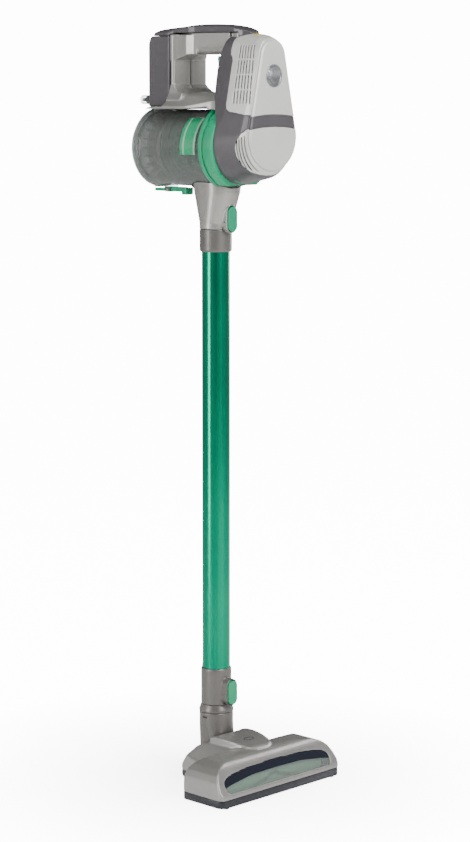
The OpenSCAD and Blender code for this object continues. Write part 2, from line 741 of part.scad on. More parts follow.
module motor_ring() {
  color([0, 0.62, 0.4]) difference() {
    union() {
      difference() {
        union() {
          ycyl(ring_f, -38, 0, ring_cz, ring_r);
          ycyl(-38.5, -32, 0, ring_cz, ring_r - 2.6);
          ycyl(-32.2, ring_y - 1.4, 0, ring_cz, ring_r - 0.4);
          ycyl(ring_y - 1.5, ring_y, 0, ring_cz, ring_r - 1.6);
        }
        // flat seat on the nozzle neck
        bx(-70, 70, -70, 0, 830, 857.4);
      }
      ycyl(-62, ring_f + 1, 0, cup_z, 48.6);
    }
    // cup socket, air passage and impeller room
    ycyl(-42, -20, 0, cup_z, cup_r + 0.4);
    ycyl(-44.5, -41, 0, cup_z, 40);
    ycyl(-60, -44.4, 0, cup_z, 46);
    ycyl(-70, -59.9, 0, cup_z, 41.2);
  }
}
module impeller() {
  color([0.25, 0.25, 0.27]) union() {
    ycyl(-58, -56, 0, cup_z, 36);
    ycyl(-56.2, -46.5, 0, cup_z, 8);
    difference() {
      for (a = [0 : 40 : 320]) translate([0, -56.2, cup_z]) rotate([0, a, 0]) bx(-0.8, 0.8, 0, 7, 6, 34);
      ycyl(-60, -40, 0, cup_z, 7);
    }
    ycyl(-102, -58, 0, cup_z, 3);
  }
}
module motor_can() {
  color([0.55, 0.55, 0.57]) difference() {
    union() {
      ycyl(-98, -63, 0, cup_z, 28);
      ycyl(-64, -60, 0, cup_z, 41);
      ycyl(-103.4, -98, 0, cup_z, 9);
    }
    ycyl(-120, -50, 0, cup_z, 3.05);
    ring_y2(-99, -96, cup_z, 25, 12);
    for (a = [0 : 60 : 300]) translate([0, 0, cup_z]) rotate([0, a, 0]) translate([0, 0, 36]) rotate([90, 0, 0])
      cylinder(h = 200, r = 2.4, center = true);
  }
}
module exhaust_filter() {
  color([0.85, 0.85, 0.8]) ring_y2(-94, -68, cup_z, 31.6, 29.4);
}
module circuit_board() {
  color([0.1, 0.4, 0.25]) {
    bx(-20, 20, -72, -70, 958, 1034);
    bx(-14, -4, -80, -72, 970, 984);
    bx(2, 14, -78, -72, 992, 1004);
    for (i = [-1, 1]) ycyl(-84, -72, i * 8, 1018, 4);
  }
}
module trigger_switch() {
  color([0.1, 0.1, 0.1]) {
    bx(-5, 5, -48, -37, 1010, 1032);
    ycyl(-37.1, -35.3, 0, 1022, 2);
  }
}
module trigger() {
  color([0, 0.6, 0.4]) difference() {
    union() {
      bx(-7, 7, -30, -18, 1007, 1036);
      yz(-7, 7) polygon([[-18.2, 1007], [-14, 1008], [-11.6, 1012], [-12.2, 1018], [-12.2, 1026], [-11, 1032],
        [-12, 1036], [-18.2, 1036]]);
      bx(-8.8, 8.8, -31.4, -27.4, 1009, 1034);
    }
    bx(-5, 5, -40, -22, 1010, 1033);
  }
}

// ---------- handheld: nozzle neck ----------
module nozzle_neck() {
  color([0.7, 0.7, 0.68]) difference() {
    union() {
      zcyl(seam_z + 0.2, 804, 0, 0, 23);
      hull() {
        zcyl(803, 804, 0, 0, 23, $fn = 48);
        zcyl(846, 848, 0, 4, 27.4, $fn = 48);
        zcyl(846, 848, 0, -10, 27.4, $fn = 48);
        zcyl(868, 870, 0, 6, 29.4, $fn = 48);
        zcyl(868, 870, 0, -12, 29.4, $fn = 48);
      }
      bx(-9.5, 9.5, -23.3, -16, 800, 826.6);
      rocker_box(790, -23.3);
      // wire rib
      bx(-5, 5, 18, 26.4, seam_z + 0.2, 822);
      yz(-5, 5) polygon([[18, 822], [26.4, 822], [25, 827], [18, 834]]);
    }
    zcyl(780, 843, 0, 0, spig_r + slide_c);
    zcyl(842, 875, 0, 0, 15.2);
    rocker_room(790);
    ycyl(-52, 60, 0, cup_z, cup_r + 0.7);
    difference() {
      ycyl(-90, ring_y + 0.7, 0, ring_cz, ring_r + 0.3);
      bx(-70, 70, -100, 0, 830, 857.2);
    }
    ycyl(-90, -52.3, 0, 915, 58);
  }
}
module nozzle_button() { color([0.25, 0.66, 0.5]) rocker(790); }

// ---------- dust cup ----------
hin_y = 127.6;
hin_z = 975;
lat_y = 90;
lat_z = 847.4;
module cup_shell() {
  color([0.8, 0.82, 0.8, 0.35]) difference() {
    union() {
      ycyl(-40, 98, 0, cup_z, cup_r);
      translate([0, 97, cup_z]) rotate([-90, 0, 0]) cylinder(h = 6, r1 = cup_r, r2 = rim_r);
      ycyl(103, 108, 0, cup_z, rim_r);
      // hinge lugs for the door
      both() {
        bx(9.2, 19, 101.5, 108, 950, 966);
        yz(9.2, 19) polygon([[102, 963], [108, 963], [108, 964.8], [112.6, 965], [121, 972], [hin_y, 968.8], [hin_y, 981.2], [112, 975]]);
        xcyl(9.2, 19, hin_y, hin_z, 6.4);
      }
      // lugs for the latch
      both() yz(5.2, 8.4) polygon([[84, 857], [97, 857], [94, 844.6], [86, 844.6]]);
    }
    ycyl(-50, 120, 0, cup_z, cup_r - cup_wall);
    both() xcyl(8, 20, hin_y, hin_z, 2.5);
    both() xcyl(5, 9, lat_y, lat_z, 1.5);
    // air inlet above the nozzle neck
    zcyl(840, 870, 0, 0, 15);
  }
}
module hinge_pins() {
  color([0.7, 0.7, 0.72]) {
    xcyl(-18.8, 18.8, hin_y, hin_z, 2.5);
    xcyl(-8.4, 8.4, lat_y, lat_z, 1.5);
  }
}
module cyclone_shroud() {
  color([0.35, 0.5, 0.42, 0.7]) difference() {
    union() {
      ycyl(-38, 58, 0, cup_z, 38);
      translate([0, 58, cup_z]) rotate([-90, 0, 0]) cylinder(h = 8, r1 = 38, r2 = 46);
      ycyl(-38, -35, 0, cup_z, 51);
    }
    ycyl(-40, 58, 0, cup_z, 35.4);
    translate([0, 57.9, cup_z]) rotate([-90, 0, 0]) cylinder(h = 8.3, r1 = 35.4, r2 = 43.6);
    for (a = [0 : 20 : 340], k = [0 : 3]) translate([0, 12 + 10 * k, cup_z]) rotate([0, a, 0])
      zcyl(30, 45, 0, 0, 1.8, $fn = 24);
  }
}
module separator_ring() {
  color([0.6, 0.6, 0.57]) {
    difference() {
      ycyl(80, 96, 0, cup_z, 42);
      ycyl(70, 100, 0, cup_z, 38.5);
    }
    difference() {
      for (a = [0 : 15 : 345]) translate([0, 0, cup_z]) rotate([0, a, 0]) bx(-0.9, 0.9, 82, 95, 40, 51.2);
      ycyl(70, 100, 0, cup_z, 41);
    }
    difference() {
      ycyl(64.2, 80.2, 0, cup_z, 40);
      ycyl(60, 82, 0, cup_z, 38.5);
    }
    difference() {
      ycyl(92, 96, 0, cup_z, 39);
      ycyl(90, 100, 0, cup_z, 12);
    }
  }
}
module cup_filter() {
  color([0.9, 0.9, 0.87]) difference() {
    union() {
      ycyl(-36, 30, 0, cup_z, 26);
      for (a = [0 : 12 : 348]) translate([0, 0, cup_z]) rotate([0, a, 0]) bx(-0.7, 0.7, -36, 30, 25, 31);
      ycyl(-38, -35, 0, cup_z, 35);
      ycyl(29, 32, 0, cup_z, 32);
    }
    ycyl(-45, 27, 0, cup_z, 22);
  }
}
module cup_label() {
  color([0.1, 0.72, 0.45]) intersection() {
    ring_y2(-12.6, 17, cup_z, cup_r + 0.35, cup_r);
    bx(-80, -20, -40, 20, cup_z - 8, cup_z + 42.6);
  }
}
module cup_door() {
  color([0.75, 0.85, 0.8, 0.4]) difference() {
    union() {
      ycyl(108.3, 112, 0, cup_z, rim_r);
      translate([0, 112, cup_z]) rotate([-90, 0, 0]) cylinder(h = 4.4, r1 = rim_r, r2 = rim_r - 3.6);
      ycyl(106, 109, 0, cup_z, 49);
      yz(-8.8, 8.8) polygon([[108.4, 955], [117.6, 955], [123, 964], [hin_y, 968.7], [hin_y, 981.2],
        [121.6, 977], [112, 966], [108.4, 963]]);
      xcyl(-8.8, 8.8, hin_y, hin_z, 6.4);
      // catch nose at the bottom
      xz(108.4, 116.2) translate([0, 854.2]) rr(18, 6, 2.5);
    }
    ycyl(110.5, 130, 0, cup_z, 46);
    ycyl(100, 108.4, 0, cup_z, 46.5);
    xcyl(-10, 10, hin_y, hin_z, 2.55);
  }
}
module door_seal() {
  color([0.1, 0.1, 0.1]) ring_y2(106.3, 108.3, cup_z, 50.4, 49);
}
module cup_latch() {
  color([0, 0.6, 0.4]) difference() {
    union() {
      bx(-5, 5, 58, 117.8, 845, 849.4);
      bx(-5, 5, 61, 99, 845, 851.6);
      xcyl(-5, 5, lat_y, lat_z, 3.2);
      // thumb pad with ribs
      xy(842.4, 850.8) translate([0, 57]) rr(15, 13, 4);
      for (i = [0 : 3]) bx(-6, 6, 52.2 + 2.8 * i, 53.5 + 2.8 * i, 841, 843);
      bx(-4, 4, 117, 120, 845, 849.2);
    }
    xcyl(-6, 6, lat_y, lat_z, 1.55);
  }
}

head_base();
head_cover();
window_lens();
window_trim();
front_glides();
base_screws();
brush_motor();
drive_belt();
suction_duct();
brush_end_caps();
head_pins();
head_badge();
brush_core();
bristle_rows();
brush_pulley();
motor_pulley();
wheel_left();
wheel_right();
neck_elbow();
swivel_ring();
neck_spigot();
spigot_seal();
wand_tube();
wand_lower_collar();
wand_upper_collar();
wand_spigot();
wand_wire();
wand_button();
left_shell();
right_shell();
spine_cover();
battery_housing();
battery_cells();
pod_housing();
pod_front_shell();
face_plate();
name_band();
badge();
indicator_lens();
motor_ring();
motor_can();
exhaust_filter();
circuit_board();
trigger_switch();
charge_jack();
nozzle_neck();
case_screws();
trigger();
nozzle_button();
impeller();
cup_shell();
cyclone_shroud();
separator_ring();
cup_filter();
cup_label();
hinge_pins();
cup_door();
door_seal();
cup_latch();
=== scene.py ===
"""Looks of a cordless stick vacuum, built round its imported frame."""

import json  # noqa: E402
import logging  # noqa: E402
import math  # noqa: E402
from dataclasses import dataclass, field  # noqa: E402
from enum import Enum  # noqa: E402
from typing import Callable, Iterable, Sequence  # noqa: E402

import bmesh  # noqa: E402
import bpy  # noqa: E402
from mathutils import Matrix, Vector  # noqa: E402


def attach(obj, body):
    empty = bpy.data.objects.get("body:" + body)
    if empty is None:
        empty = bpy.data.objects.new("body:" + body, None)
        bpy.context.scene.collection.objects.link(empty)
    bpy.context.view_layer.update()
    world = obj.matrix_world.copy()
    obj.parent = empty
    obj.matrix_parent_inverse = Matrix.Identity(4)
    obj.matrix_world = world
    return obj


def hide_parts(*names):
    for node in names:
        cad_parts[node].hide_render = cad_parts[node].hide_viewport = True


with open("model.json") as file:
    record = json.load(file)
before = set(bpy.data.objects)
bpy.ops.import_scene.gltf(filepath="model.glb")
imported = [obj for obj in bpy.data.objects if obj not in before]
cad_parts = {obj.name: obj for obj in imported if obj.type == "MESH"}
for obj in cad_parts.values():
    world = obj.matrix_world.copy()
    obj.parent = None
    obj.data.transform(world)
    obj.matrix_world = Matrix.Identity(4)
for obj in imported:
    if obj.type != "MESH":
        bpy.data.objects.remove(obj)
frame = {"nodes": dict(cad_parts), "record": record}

LOG = logging.getLogger("stick_vacuum")
MM = 0.001
Color = tuple[float, float, float]
Place = tuple[float, float, float]

WELD = 0.002 * MM  # corners of a frame node closer than this are one
FLAT = math.radians(0.4)  # faces flatter to each other than this are joined before easing
EASE_FROM = math.radians(38)  # edges sharper than this are eased
MOST_FACES = 70000  # a sculpted skin is thinned to this
MAIN_Z = 908.0  # height of the axis that motor, pod and cup share, in millimetres


class Body(Enum):
    """The rigid bodies that pieces ride on."""

    HEAD = "floor_head"
    BRUSH = "brush"
    DRIVE_PULLEY = "drive_pulley"
    LEFT_WHEEL = "left_wheel"
    RIGHT_WHEEL = "right_wheel"
    NECK = "neck"
    SWIVEL = "swivel"
    WAND = "wand"
    WAND_RELEASE = "wand_release"
    HANDHELD = "handheld"
    TRIGGER = "power_trigger"
    NOZZLE_RELEASE = "nozzle_release"
    FAN = "fan"
    CUP = "dust_cup"
    DOOR = "door"
    LATCH = "latch"


class Edge(Enum):
    """How the edges of a moulded part are treated."""

    AS_BUILT = "as built"
    EASED = "eased"
    SCULPTED = "sculpted"


# ---------------------------------------------------------------- materials
class Recipe:
    """Adds and links the shader nodes of one material."""

    def __init__(self, name: str) -> None:
        """Starts an empty material.

        Args:
            name: the material's name.
        """
        self.material = bpy.data.materials.new(name)
        self.material.use_nodes = True
        self.tree = self.material.node_tree
        self.shader = self.tree.nodes["Principled BSDF"]
        self.coords = self.add("ShaderNodeTexCoord").outputs["Object"]

    def add(self, kind: str, **settings: object) -> bpy.types.Node:
        """Adds a node and sets its attributes.

        Args:
            kind: the node's type name.
            settings: attributes to set on it.

        Returns:
            The new node.
        """
        node = self.tree.nodes.new(kind)
        for key, value in settings.items():
            setattr(node, key, value)
        return node

    def link(self, source: bpy.types.NodeSocket, target: bpy.types.NodeSocket) -> None:
        """Joins an output to an input."""
        self.tree.links.new(source, target)

    def fix(self, **values: object) -> None:
        """Sets constants on the shader's own sockets, by name with _ for a space."""
        for key, value in values.items():
            socket = self.shader.inputs[key.replace("_", " ")]
            if isinstance(value, tuple) and len(value) == 3 and len(socket.default_value) == 4:
                value = (*value, 1.0)
            socket.default_value = value

    def stretched(self, scale: Sequence[float]) -> bpy.types.NodeSocket:
        """Object coordinates scaled along each axis.

        Args:
            scale: the three factors.

        Returns:
            The scaled vector.
        """
        mapping = self.add("ShaderNodeMapping")
        mapping.inputs["Scale"].default_value = tuple(scale)
        self.link(self.coords, mapping.inputs["Vector"])
        return mapping.outputs["Vector"]

    def noise(self, scale: float, detail: float = 3.0, rough: float = 0.5,
              vector: bpy.types.NodeSocket | None = None) -> bpy.types.NodeSocket:
        """A noise pattern.

        Args:
            scale: waves per metre.
            detail: octaves.
            rough: strength of the fine octaves.
            vector: coordinates, or None for Object coordinates.

        Returns:
            Its value from 0 to 1.
        """
        node = self.add("ShaderNodeTexNoise")
        node.inputs["Scale"].default_value = scale
        node.inputs["Detail"].default_value = detail
        node.inputs["Roughness"].default_value = rough
        self.link(vector or self.coords, node.inputs["Vector"])
        return node.outputs["Fac"]

    def span(self, value: bpy.types.NodeSocket, low: float, high: float,
             start: float = 0.3, stop: float = 0.7) -> bpy.types.NodeSocket:
        """Maps a value from start..stop to low..high.

        Args:
            value: the input.
            low: result at start.
            high: result at stop.
            start: lower end of the input.
            stop: upper end of the input.

        Returns:
            The mapped value.
        """
        node = self.add("ShaderNodeMapRange")
        for name, number in (("From Min", start), ("From Max", stop), ("To Min", low), ("To Max", high)):
            node.inputs[name].default_value = number
        self.link(value, node.inputs["Value"])
        return node.outputs["Result"]

    def blend(self, factor: bpy.types.NodeSocket, first: Color, second: Color) -> bpy.types.NodeSocket:
        """Mixes two colours by a factor.

        Args:
            factor: 0 for the first colour and 1 for the second.
            first: a colour.
            second: a colour.

        Returns:
            The mixed colour.
        """
        node = self.add("ShaderNodeMix", data_type="RGBA")
        self.link(factor, node.inputs[0])
        node.inputs[6].default_value = (*first, 1.0)
        node.inputs[7].default_value = (*second, 1.0)
        return node.outputs[2]

    def bump(self, height: bpy.types.NodeSocket, strength: float, distance: float = 0.0002,
             under: bpy.types.NodeSocket | None = None) -> bpy.types.NodeSocket:
        """Turns a height into a normal.

        Args:
            height: the height pattern.
            strength: 0 to 1.
            distance: the height in metres.
            under: a normal to build on.

        Returns:
            The normal.
        """
        node = self.add("ShaderNodeBump")
        node.inputs["Strength"].default_value = strength
        node.inputs["Distance"].default_value = distance
        self.link(height, node.inputs["Height"])
        if under is not None:
            self.link(under, node.inputs["Normal"])
        return node.outputs["Normal"]

    def to(self, name: str, value: bpy.types.NodeSocket) -> None:
        """Feeds a value to one of the shader's sockets."""
        self.link(value, self.shader.inputs[name])


def shade(color: Color, factor: float) -> Color:
    """A colour made darker or lighter."""
    return tuple(min(1.0, c * factor) for c in color)


@dataclass(frozen=True)
class MouldedPlastic:
    """Spark-textured moulded plastic with a little variation in tone."""

    name: str
    color: Color
    roughness: float = 0.45
    grain: float = 0.35
    metallic: float = 0.0
    coat: float = 0.0

    def build(self) -> bpy.types.Material:
        """Makes the material."""
        r = Recipe(self.name)
        cloud = r.noise(22.0, 3.0)
        r.to("Base Color", r.blend(r.span(cloud, 0.0, 1.0), shade(self.color, 0.93), shade(self.color, 1.06)))
        smudge = r.noise(70.0, 5.0, 0.6)
        r.to("Roughness", r.span(smudge, self.roughness - 0.05, self.roughness + 0.07))
        spark = r.noise(2600.0, 2.0, 0.6)
        wave = r.bump(cloud, 0.05, 0.0006)
        r.to("Normal", r.bump(spark, self.grain, 0.00006, wave))
        r.fix(Metallic=self.metallic, Coat_Weight=self.coat, Coat_Roughness=0.12, IOR=1.47)
        return r.material


@dataclass(frozen=True)
class MetallicLacquer:
    """Silver paint with fine flakes under a satin clear coat."""

    name: str
    color: Color
    roughness: float = 0.36
    metallic: float = 0.55
    coat: float = 0.35

    def build(self) -> bpy.types.Material:
        """Makes the material."""
        r = Recipe(self.name)
        flake = r.add("ShaderNodeTexVoronoi", feature="F1")
        flake.inputs["Scale"].default_value = 3400.0
        r.link(r.coords, flake.inputs["Vector"])
        cloud = r.noise(16.0, 2.0)
        tone = r.add("ShaderNodeMix", data_type="FLOAT")
        r.link(flake.outputs["Distance"], tone.inputs[2])
        r.link(cloud, tone.inputs[3])
        tone.inputs[0].default_value = 0.45
        r.to("Base Color", r.blend(r.span(tone.outputs[0], 0.0, 1.0, 0.2, 0.7), shade(self.color, 0.9),
                                   shade(self.color, 1.07)))
        r.to("Roughness", r.span(r.noise(90.0, 5.0, 0.65), self.roughness - 0.05, self.roughness + 0.08))
        peel = r.bump(r.noise(420.0, 2.0), 0.10, 0.00008)
        r.to("Normal", r.bump(flake.outputs["Distance"], 0.10, 0.00003, peel))
        r.fix(Metallic=self.metallic, Coat_Weight=self.coat, Coat_Roughness=0.16, IOR=1.5)
        return r.material


@dataclass(frozen=True)
class AnodisedTube:
    """Dyed anodised aluminium tube with drawing lines along its length."""

    name: str
    color: Color
    roughness: float = 0.27

    def build(self) -> bpy.types.Material:
        """Makes the material."""
        r = Recipe(self.name)
        lines = r.noise(1.0, 3.0, 0.6, r.stretched((1400.0, 1400.0, 1.2)))
        cloud = r.noise(9.0, 2.0)
        tone = r.blend(r.span(cloud, 0.0, 1.0), shade(self.color, 0.9), shade(self.color, 1.1))
        r.to("Base Color", tone)
        r.to("Roughness", r.span(lines, self.roughness - 0.05, self.roughness + 0.08))
        r.to("Normal", r.bump(lines, 0.05, 0.00003))
        r.fix(Metallic=1.0, Coat_Weight=0.04, Coat_Roughness=0.1, IOR=1.5)
        return r.material


@dataclass(frozen=True)
class ClearPlastic:
    """Clear polycarbonate wall, denser where it is seen at a slant."""

    name: str
    color: Color
    face: float = 0.12
    edge: float = 0.75
    roughness: float = 0.06

    def build(self) -> bpy.types.Material:
        """Makes the material."""
        r = Recipe(self.name)
        rim = r.add("ShaderNodeLayerWeight")
        rim.inputs["Blend"].default_value = 0.35
        haze = r.noise(60.0, 4.0, 0.6)
        r.to("Base Color", r.blend(rim.outputs["Facing"], shade(self.color, 1.15), shade(self.color, 0.55)))
        r.to("Roughness", r.span(haze, self.roughness, self.roughness + 0.08))
        r.to("Alpha", r.span(rim.outputs["Facing"], self.face, self.edge, 0.1, 0.75))
        r.to("Normal", r.bump(haze, 0.04, 0.0002))
        r.fix(IOR=1.45, Coat_Weight=0.25, Coat_Roughness=0.05)
        return r.material


@dataclass(frozen=True)
class Rubber:
    """Matt rubber with dust in its pores."""

    name: str
    color: Color = (0.018, 0.018, 0.02)

    def build(self) -> bpy.types.Material:
        """Makes the material."""
        r = Recipe(self.name)
        dust = r.noise(130.0, 6.0, 0.7)
        r.to("Base Color", r.blend(r.span(dust, 0.0, 1.0, 0.45, 0.8), self.color, (0.09, 0.088, 0.085)))
        r.to("Roughness", r.span(dust, 0.62, 0.85))
        r.to("Normal", r.bump(r.noise(1800.0, 2.0), 0.3, 0.00008))
        r.fix(Specular_IOR_Level=0.35)
        return r.material


@dataclass(frozen=True)
class MachinedMetal:
    """Turned or rolled metal with fine tool lines."""

    name: str
    color: Color
    roughness: float = 0.32
    along: tuple[float, float, float] = (40.0, 1500.0, 1500.0)

    def build(self) -> bpy.types.Material:
        """Makes the material."""
        r = Recipe(self.name)
        lines = r.noise(1.0, 4.0, 0.6, r.stretched(self.along))
        r.to("Base Color", r.blend(r.span(lines, 0.0, 1.0), shade(self.color, 0.85), shade(self.color, 1.1)))
        r.to("Roughness", r.span(lines, self.roughness - 0.07, self.roughness + 0.1))
        r.to("Normal", r.bump(lines, 0.12, 0.00004))
        r.fix(Metallic=1.0)
        return r.material


@dataclass(frozen=True)
class SoftFibre:
    """Nylon bristles or pleated felt, with broken tones and a soft sheen."""

    name: str
    color: Color
    streak: tuple[float, float, float] = (700.0, 700.0, 700.0)

    def build(self) -> bpy.types.Material:
        """Makes the material."""
        r = Recipe(self.name)
        streak = r.noise(1.0, 4.0, 0.7, r.stretched(self.streak))
        r.to("Base Color", r.blend(r.span(streak, 0.0, 1.0), shade(self.color, 0.72), shade(self.color, 1.15)))
        r.to("Roughness", r.span(streak, 0.6, 0.85))
        r.to("Normal", r.bump(streak, 0.5, 0.0002))
        r.fix(Sheen_Weight=0.35, Sheen_Roughness=0.4)
        return r.material


@dataclass(frozen=True)
class PrintedFilm:
    """Printed film label: two tones in plain blocks under a gloss laminate."""

    name: str
    color: Color
    second: Color
    bands: float = 150.0

    def build(self) -> bpy.types.Material:
        """Makes the material."""
        r = Recipe(self.name)
        wave = r.add("ShaderNodeTexWave", wave_type="BANDS", bands_direction="Y")
        wave.inputs["Scale"].default_value = self.bands / 10.0
        wave.inputs["Distortion"].default_value = 0.0
        r.link(r.coords, wave.inputs["Vector"])
        r.to("Base Color", r.blend(r.span(wave.outputs["Fac"], 0.0, 1.0, 0.93, 0.96), self.color, self.second))
        fibre = r.noise(300.0, 3.0)
        r.to("Roughness", r.span(fibre, 0.25, 0.36))
        r.to("Normal", r.bump(fibre, 0.05, 0.0001))
        r.fix(Coat_Weight=0.5, Coat_Roughness=0.06)
        return r.material


FINISHES: dict[str, object] = {
    "silver": MetallicLacquer("silver_lacquer", (0.37, 0.362, 0.342), 0.33, 0.6, 0.25),
    # painted light: a lighter, less metallic copy of the silver lacquer, painted bright where the key lamp falls on
    # the face plate and pod front
    "painted_lit_silver": MetallicLacquer("painted_lit_lacquer", (0.66, 0.655, 0.63), 0.36, 0.3, 0.25),
    "head_grey": MetallicLacquer("head_lacquer", (0.33, 0.32, 0.305), 0.34, 0.6, 0.25),
    "collar_grey": MetallicLacquer("collar_lacquer", (0.15, 0.142, 0.134), 0.36, 0.5, 0.2),
    "dark_grey": MouldedPlastic("charcoal_plastic", (0.088, 0.082, 0.09), 0.34, 0.10, 0.3, 0.15),
    "base_dark": MouldedPlastic("sole_plastic", (0.012, 0.014, 0.02), 0.40, 0.4, 0.0, 0.1),
    "duct_black": MouldedPlastic("black_plastic", (0.010, 0.010, 0.011), 0.4, 0.4),
    "spigot_grey": MouldedPlastic("spigot_plastic", (0.05, 0.05, 0.052), 0.4, 0.3),
    "green": MouldedPlastic("green_plastic", (0.0, 0.34, 0.15), 0.30, 0.12, 0.0, 0.1),
    "pale_green": MouldedPlastic("pale_green_plastic", (0.0, 0.28, 0.14), 0.38, 0.12, 0.0, 0.25),
    "separator": MouldedPlastic("separator_plastic", (0.34, 0.325, 0.29), 0.5, 0.4),
    "cell_wrap": MouldedPlastic("cell_sleeve", (0.02, 0.08, 0.32), 0.3, 0.05, 0.0, 0.5),
    "board": MouldedPlastic("solder_resist", (0.01, 0.12, 0.045), 0.3, 0.2, 0.0, 0.5),
    "yellow_lens": MouldedPlastic("yellow_lens", (0.75, 0.62, 0.05), 0.3, 0.05, 0.0, 0.6),
    "navy_gloss": MouldedPlastic("navy_gloss", (0.005, 0.008, 0.018), 0.10, 0.02, 0.0, 0.8),
    "green_tube": AnodisedTube("green_anodised", (0.0, 0.31, 0.165), 0.23),
    "clear_cup": ClearPlastic("clear_cup", (0.16, 0.18, 0.168), 0.33, 1.0),
    "door_clear": ClearPlastic("door_clear", (0.07, 0.16, 0.115), 0.84, 1.0),
    "clear_window": ClearPlastic("clear_window", (0.30, 0.34, 0.32), 0.22, 0.6),
    "shroud_smoke": ClearPlastic("shroud_smoke", (0.022, 0.17, 0.085), 0.78, 1.0, 0.25),
    "rubber_black": Rubber("black_rubber"),
    "steel": MachinedMetal("zinc_steel", (0.45, 0.45, 0.46)),
    "brass": MachinedMetal("brass", (0.62, 0.43, 0.15)),
    "badge_metal": MachinedMetal("spun_badge", (0.42, 0.43, 0.45), 0.28, (900.0, 40.0, 900.0)),
    "brush_green": SoftFibre("nylon_green", (0.09, 0.33, 0.17)),
    "filter_white": SoftFibre("pleated_felt", (0.55, 0.55, 0.50), (300.0, 40.0, 300.0)),
    "label_green": PrintedFilm("green_label", (0.005, 0.36, 0.15), (0.30, 0.55, 0.40)),
}


class Paintbox:
    """Builds each finish once and hands it out."""

    def __init__(self) -> None:
        """Starts with nothing mixed."""
        self._made: dict[str, bpy.types.Material] = {}

    def get(self, key: str) -> bpy.types.Material:
        """The material of a finish.

        Args:
            key: a name in FINISHES.

        Returns:
            The material, built on first use.
        """
        if key not in self._made:
            self._made[key] = FINISHES[key].build()
        return self._made[key]


PAINTS = Paintbox()


# ---------------------------------------------------------------- mesh tools
def record_slot(node: str) -> str:
    """The record's material slot of a node."""
    return next(s["material_slot"] for s in frame["record"]["subparts"] if s["node"] == node)


def new_object(name: str, mesh: bpy.types.Mesh) -> bpy.types.Object:
    """Links a mesh into the scene under a name."""
    piece = bpy.data.objects.new(name, mesh)
    bpy.context.scene.collection.objects.link(piece)
    return piece


def evaluated_mesh(piece: bpy.types.Object) -> bpy.types.Mesh:
    """A plain mesh of an object with its modifiers applied."""
    graph = bpy.context.evaluated_depsgraph_get()
    graph.update()
    return bpy.data.meshes.new_from_object(piece.evaluated_get(graph), depsgraph=graph)


def baked(piece: bpy.types.Object, crease: float = 0.6) -> bpy.types.Object:
    """Applies a piece's modifiers and smooths its shading.

    Args:
        piece: the object.
        crease: edges sharper than this angle stay sharp.

    Returns:
        The same object with a plain mesh.
    """
    mesh = evaluated_mesh(piece)
    piece.modifiers.clear()
    piece.data = mesh
    mesh.shade_smooth()
    mesh.set_sharp_from_angle(angle=crease)
    return piece


def merged_copy(node: str, name: str) -> bpy.types.Object:
    """A welded copy of a frame node.

    Args:
        node: the node to copy.
        name: the copy's name.

    Returns:
        The new object.
    """
    mesh = frame["nodes"][node].data.copy()
    mesh.materials.clear()
    bm = bmesh.new()
    bm.from_mesh(mesh)
    bmesh.ops.remove_doubles(bm, verts=bm.verts, dist=WELD)
    bm.to_mesh(mesh)
    bm.free()
    mesh.validate()
    return new_object(name, mesh)


def adopt(piece: bpy.types.Object, body: Body, paint: str, replaces: Iterable[str] = ()) -> None:
    """Paints a finished piece and hangs it on its body.

    Args:
        piece: the finished object.
        body: the body it rides on.
        paint: a name in FINISHES.
        replaces: frame nodes that it stands for.
    """
    piece.data.materials.clear()
    piece.data.materials.append(PAINTS.get(paint))
    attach(piece, body.value)
    nodes = list(replaces)
    if nodes:
        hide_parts(*nodes)
    LOG.info("%s: %d faces on %s", piece.name, len(piece.data.polygons), body.value)


@dataclass(frozen=True)
class Moulding:
    """How one frame node is dressed."""

    node: str
    body: Body
    paint: str
    edge: Edge = Edge.AS_BUILT
    size: float = 0.5
    passes: int = 4

    def make(self) -> None:
        """Paints the node, or replaces it by a copy with softened edges."""
        if self.edge is Edge.AS_BUILT:
            data = frame["nodes"][self.node].data
            data.materials.clear()
            data.materials.append(PAINTS.get(self.paint))
            LOG.info("%s: painted %s", self.node, self.paint)
            return
        piece = merged_copy(self.node, f"{self.node}_skin")
        if self.edge is Edge.EASED:
            self._ease(piece)
        else:
            self._sculpt(piece)
        adopt(piece, self.body, self.paint, [self.node])

    def _ease(self, piece: bpy.types.Object) -> None:
        """Rounds the sharp edges with a small bevel."""
        bm = bmesh.new()
        bm.from_mesh(piece.data)
        bmesh.ops.dissolve_limit(bm, angle_limit=FLAT, verts=bm.verts, edges=bm.edges)
        bm.to_mesh(piece.data)
        bm.free()
        bevel = piece.modifiers.new("ease", "BEVEL")
        bevel.width = self.size * MM
        bevel.segments = 2
        bevel.limit_method = "ANGLE"
        bevel.angle_limit = EASE_FROM
        bevel.harden_normals = False
        baked(piece, 0.62)

    def _sculpt(self, piece: bpy.types.Object) -> None:
        """Turns the shape into one flowing skin with soft creases."""
        remesh = piece.modifiers.new("skin", "REMESH")
        remesh.mode = "VOXEL"
        remesh.voxel_size = self.size * MM
        relax = piece.modifiers.new("relax", "SMOOTH")
        relax.factor = 0.5
        relax.iterations = self.passes
        count = len(evaluated_mesh(piece).polygons)
        if count > MOST_FACES:
            thin = piece.modifiers.new("thin", "DECIMATE")
            thin.ratio = MOST_FACES / count
        baked(piece, 1.3)


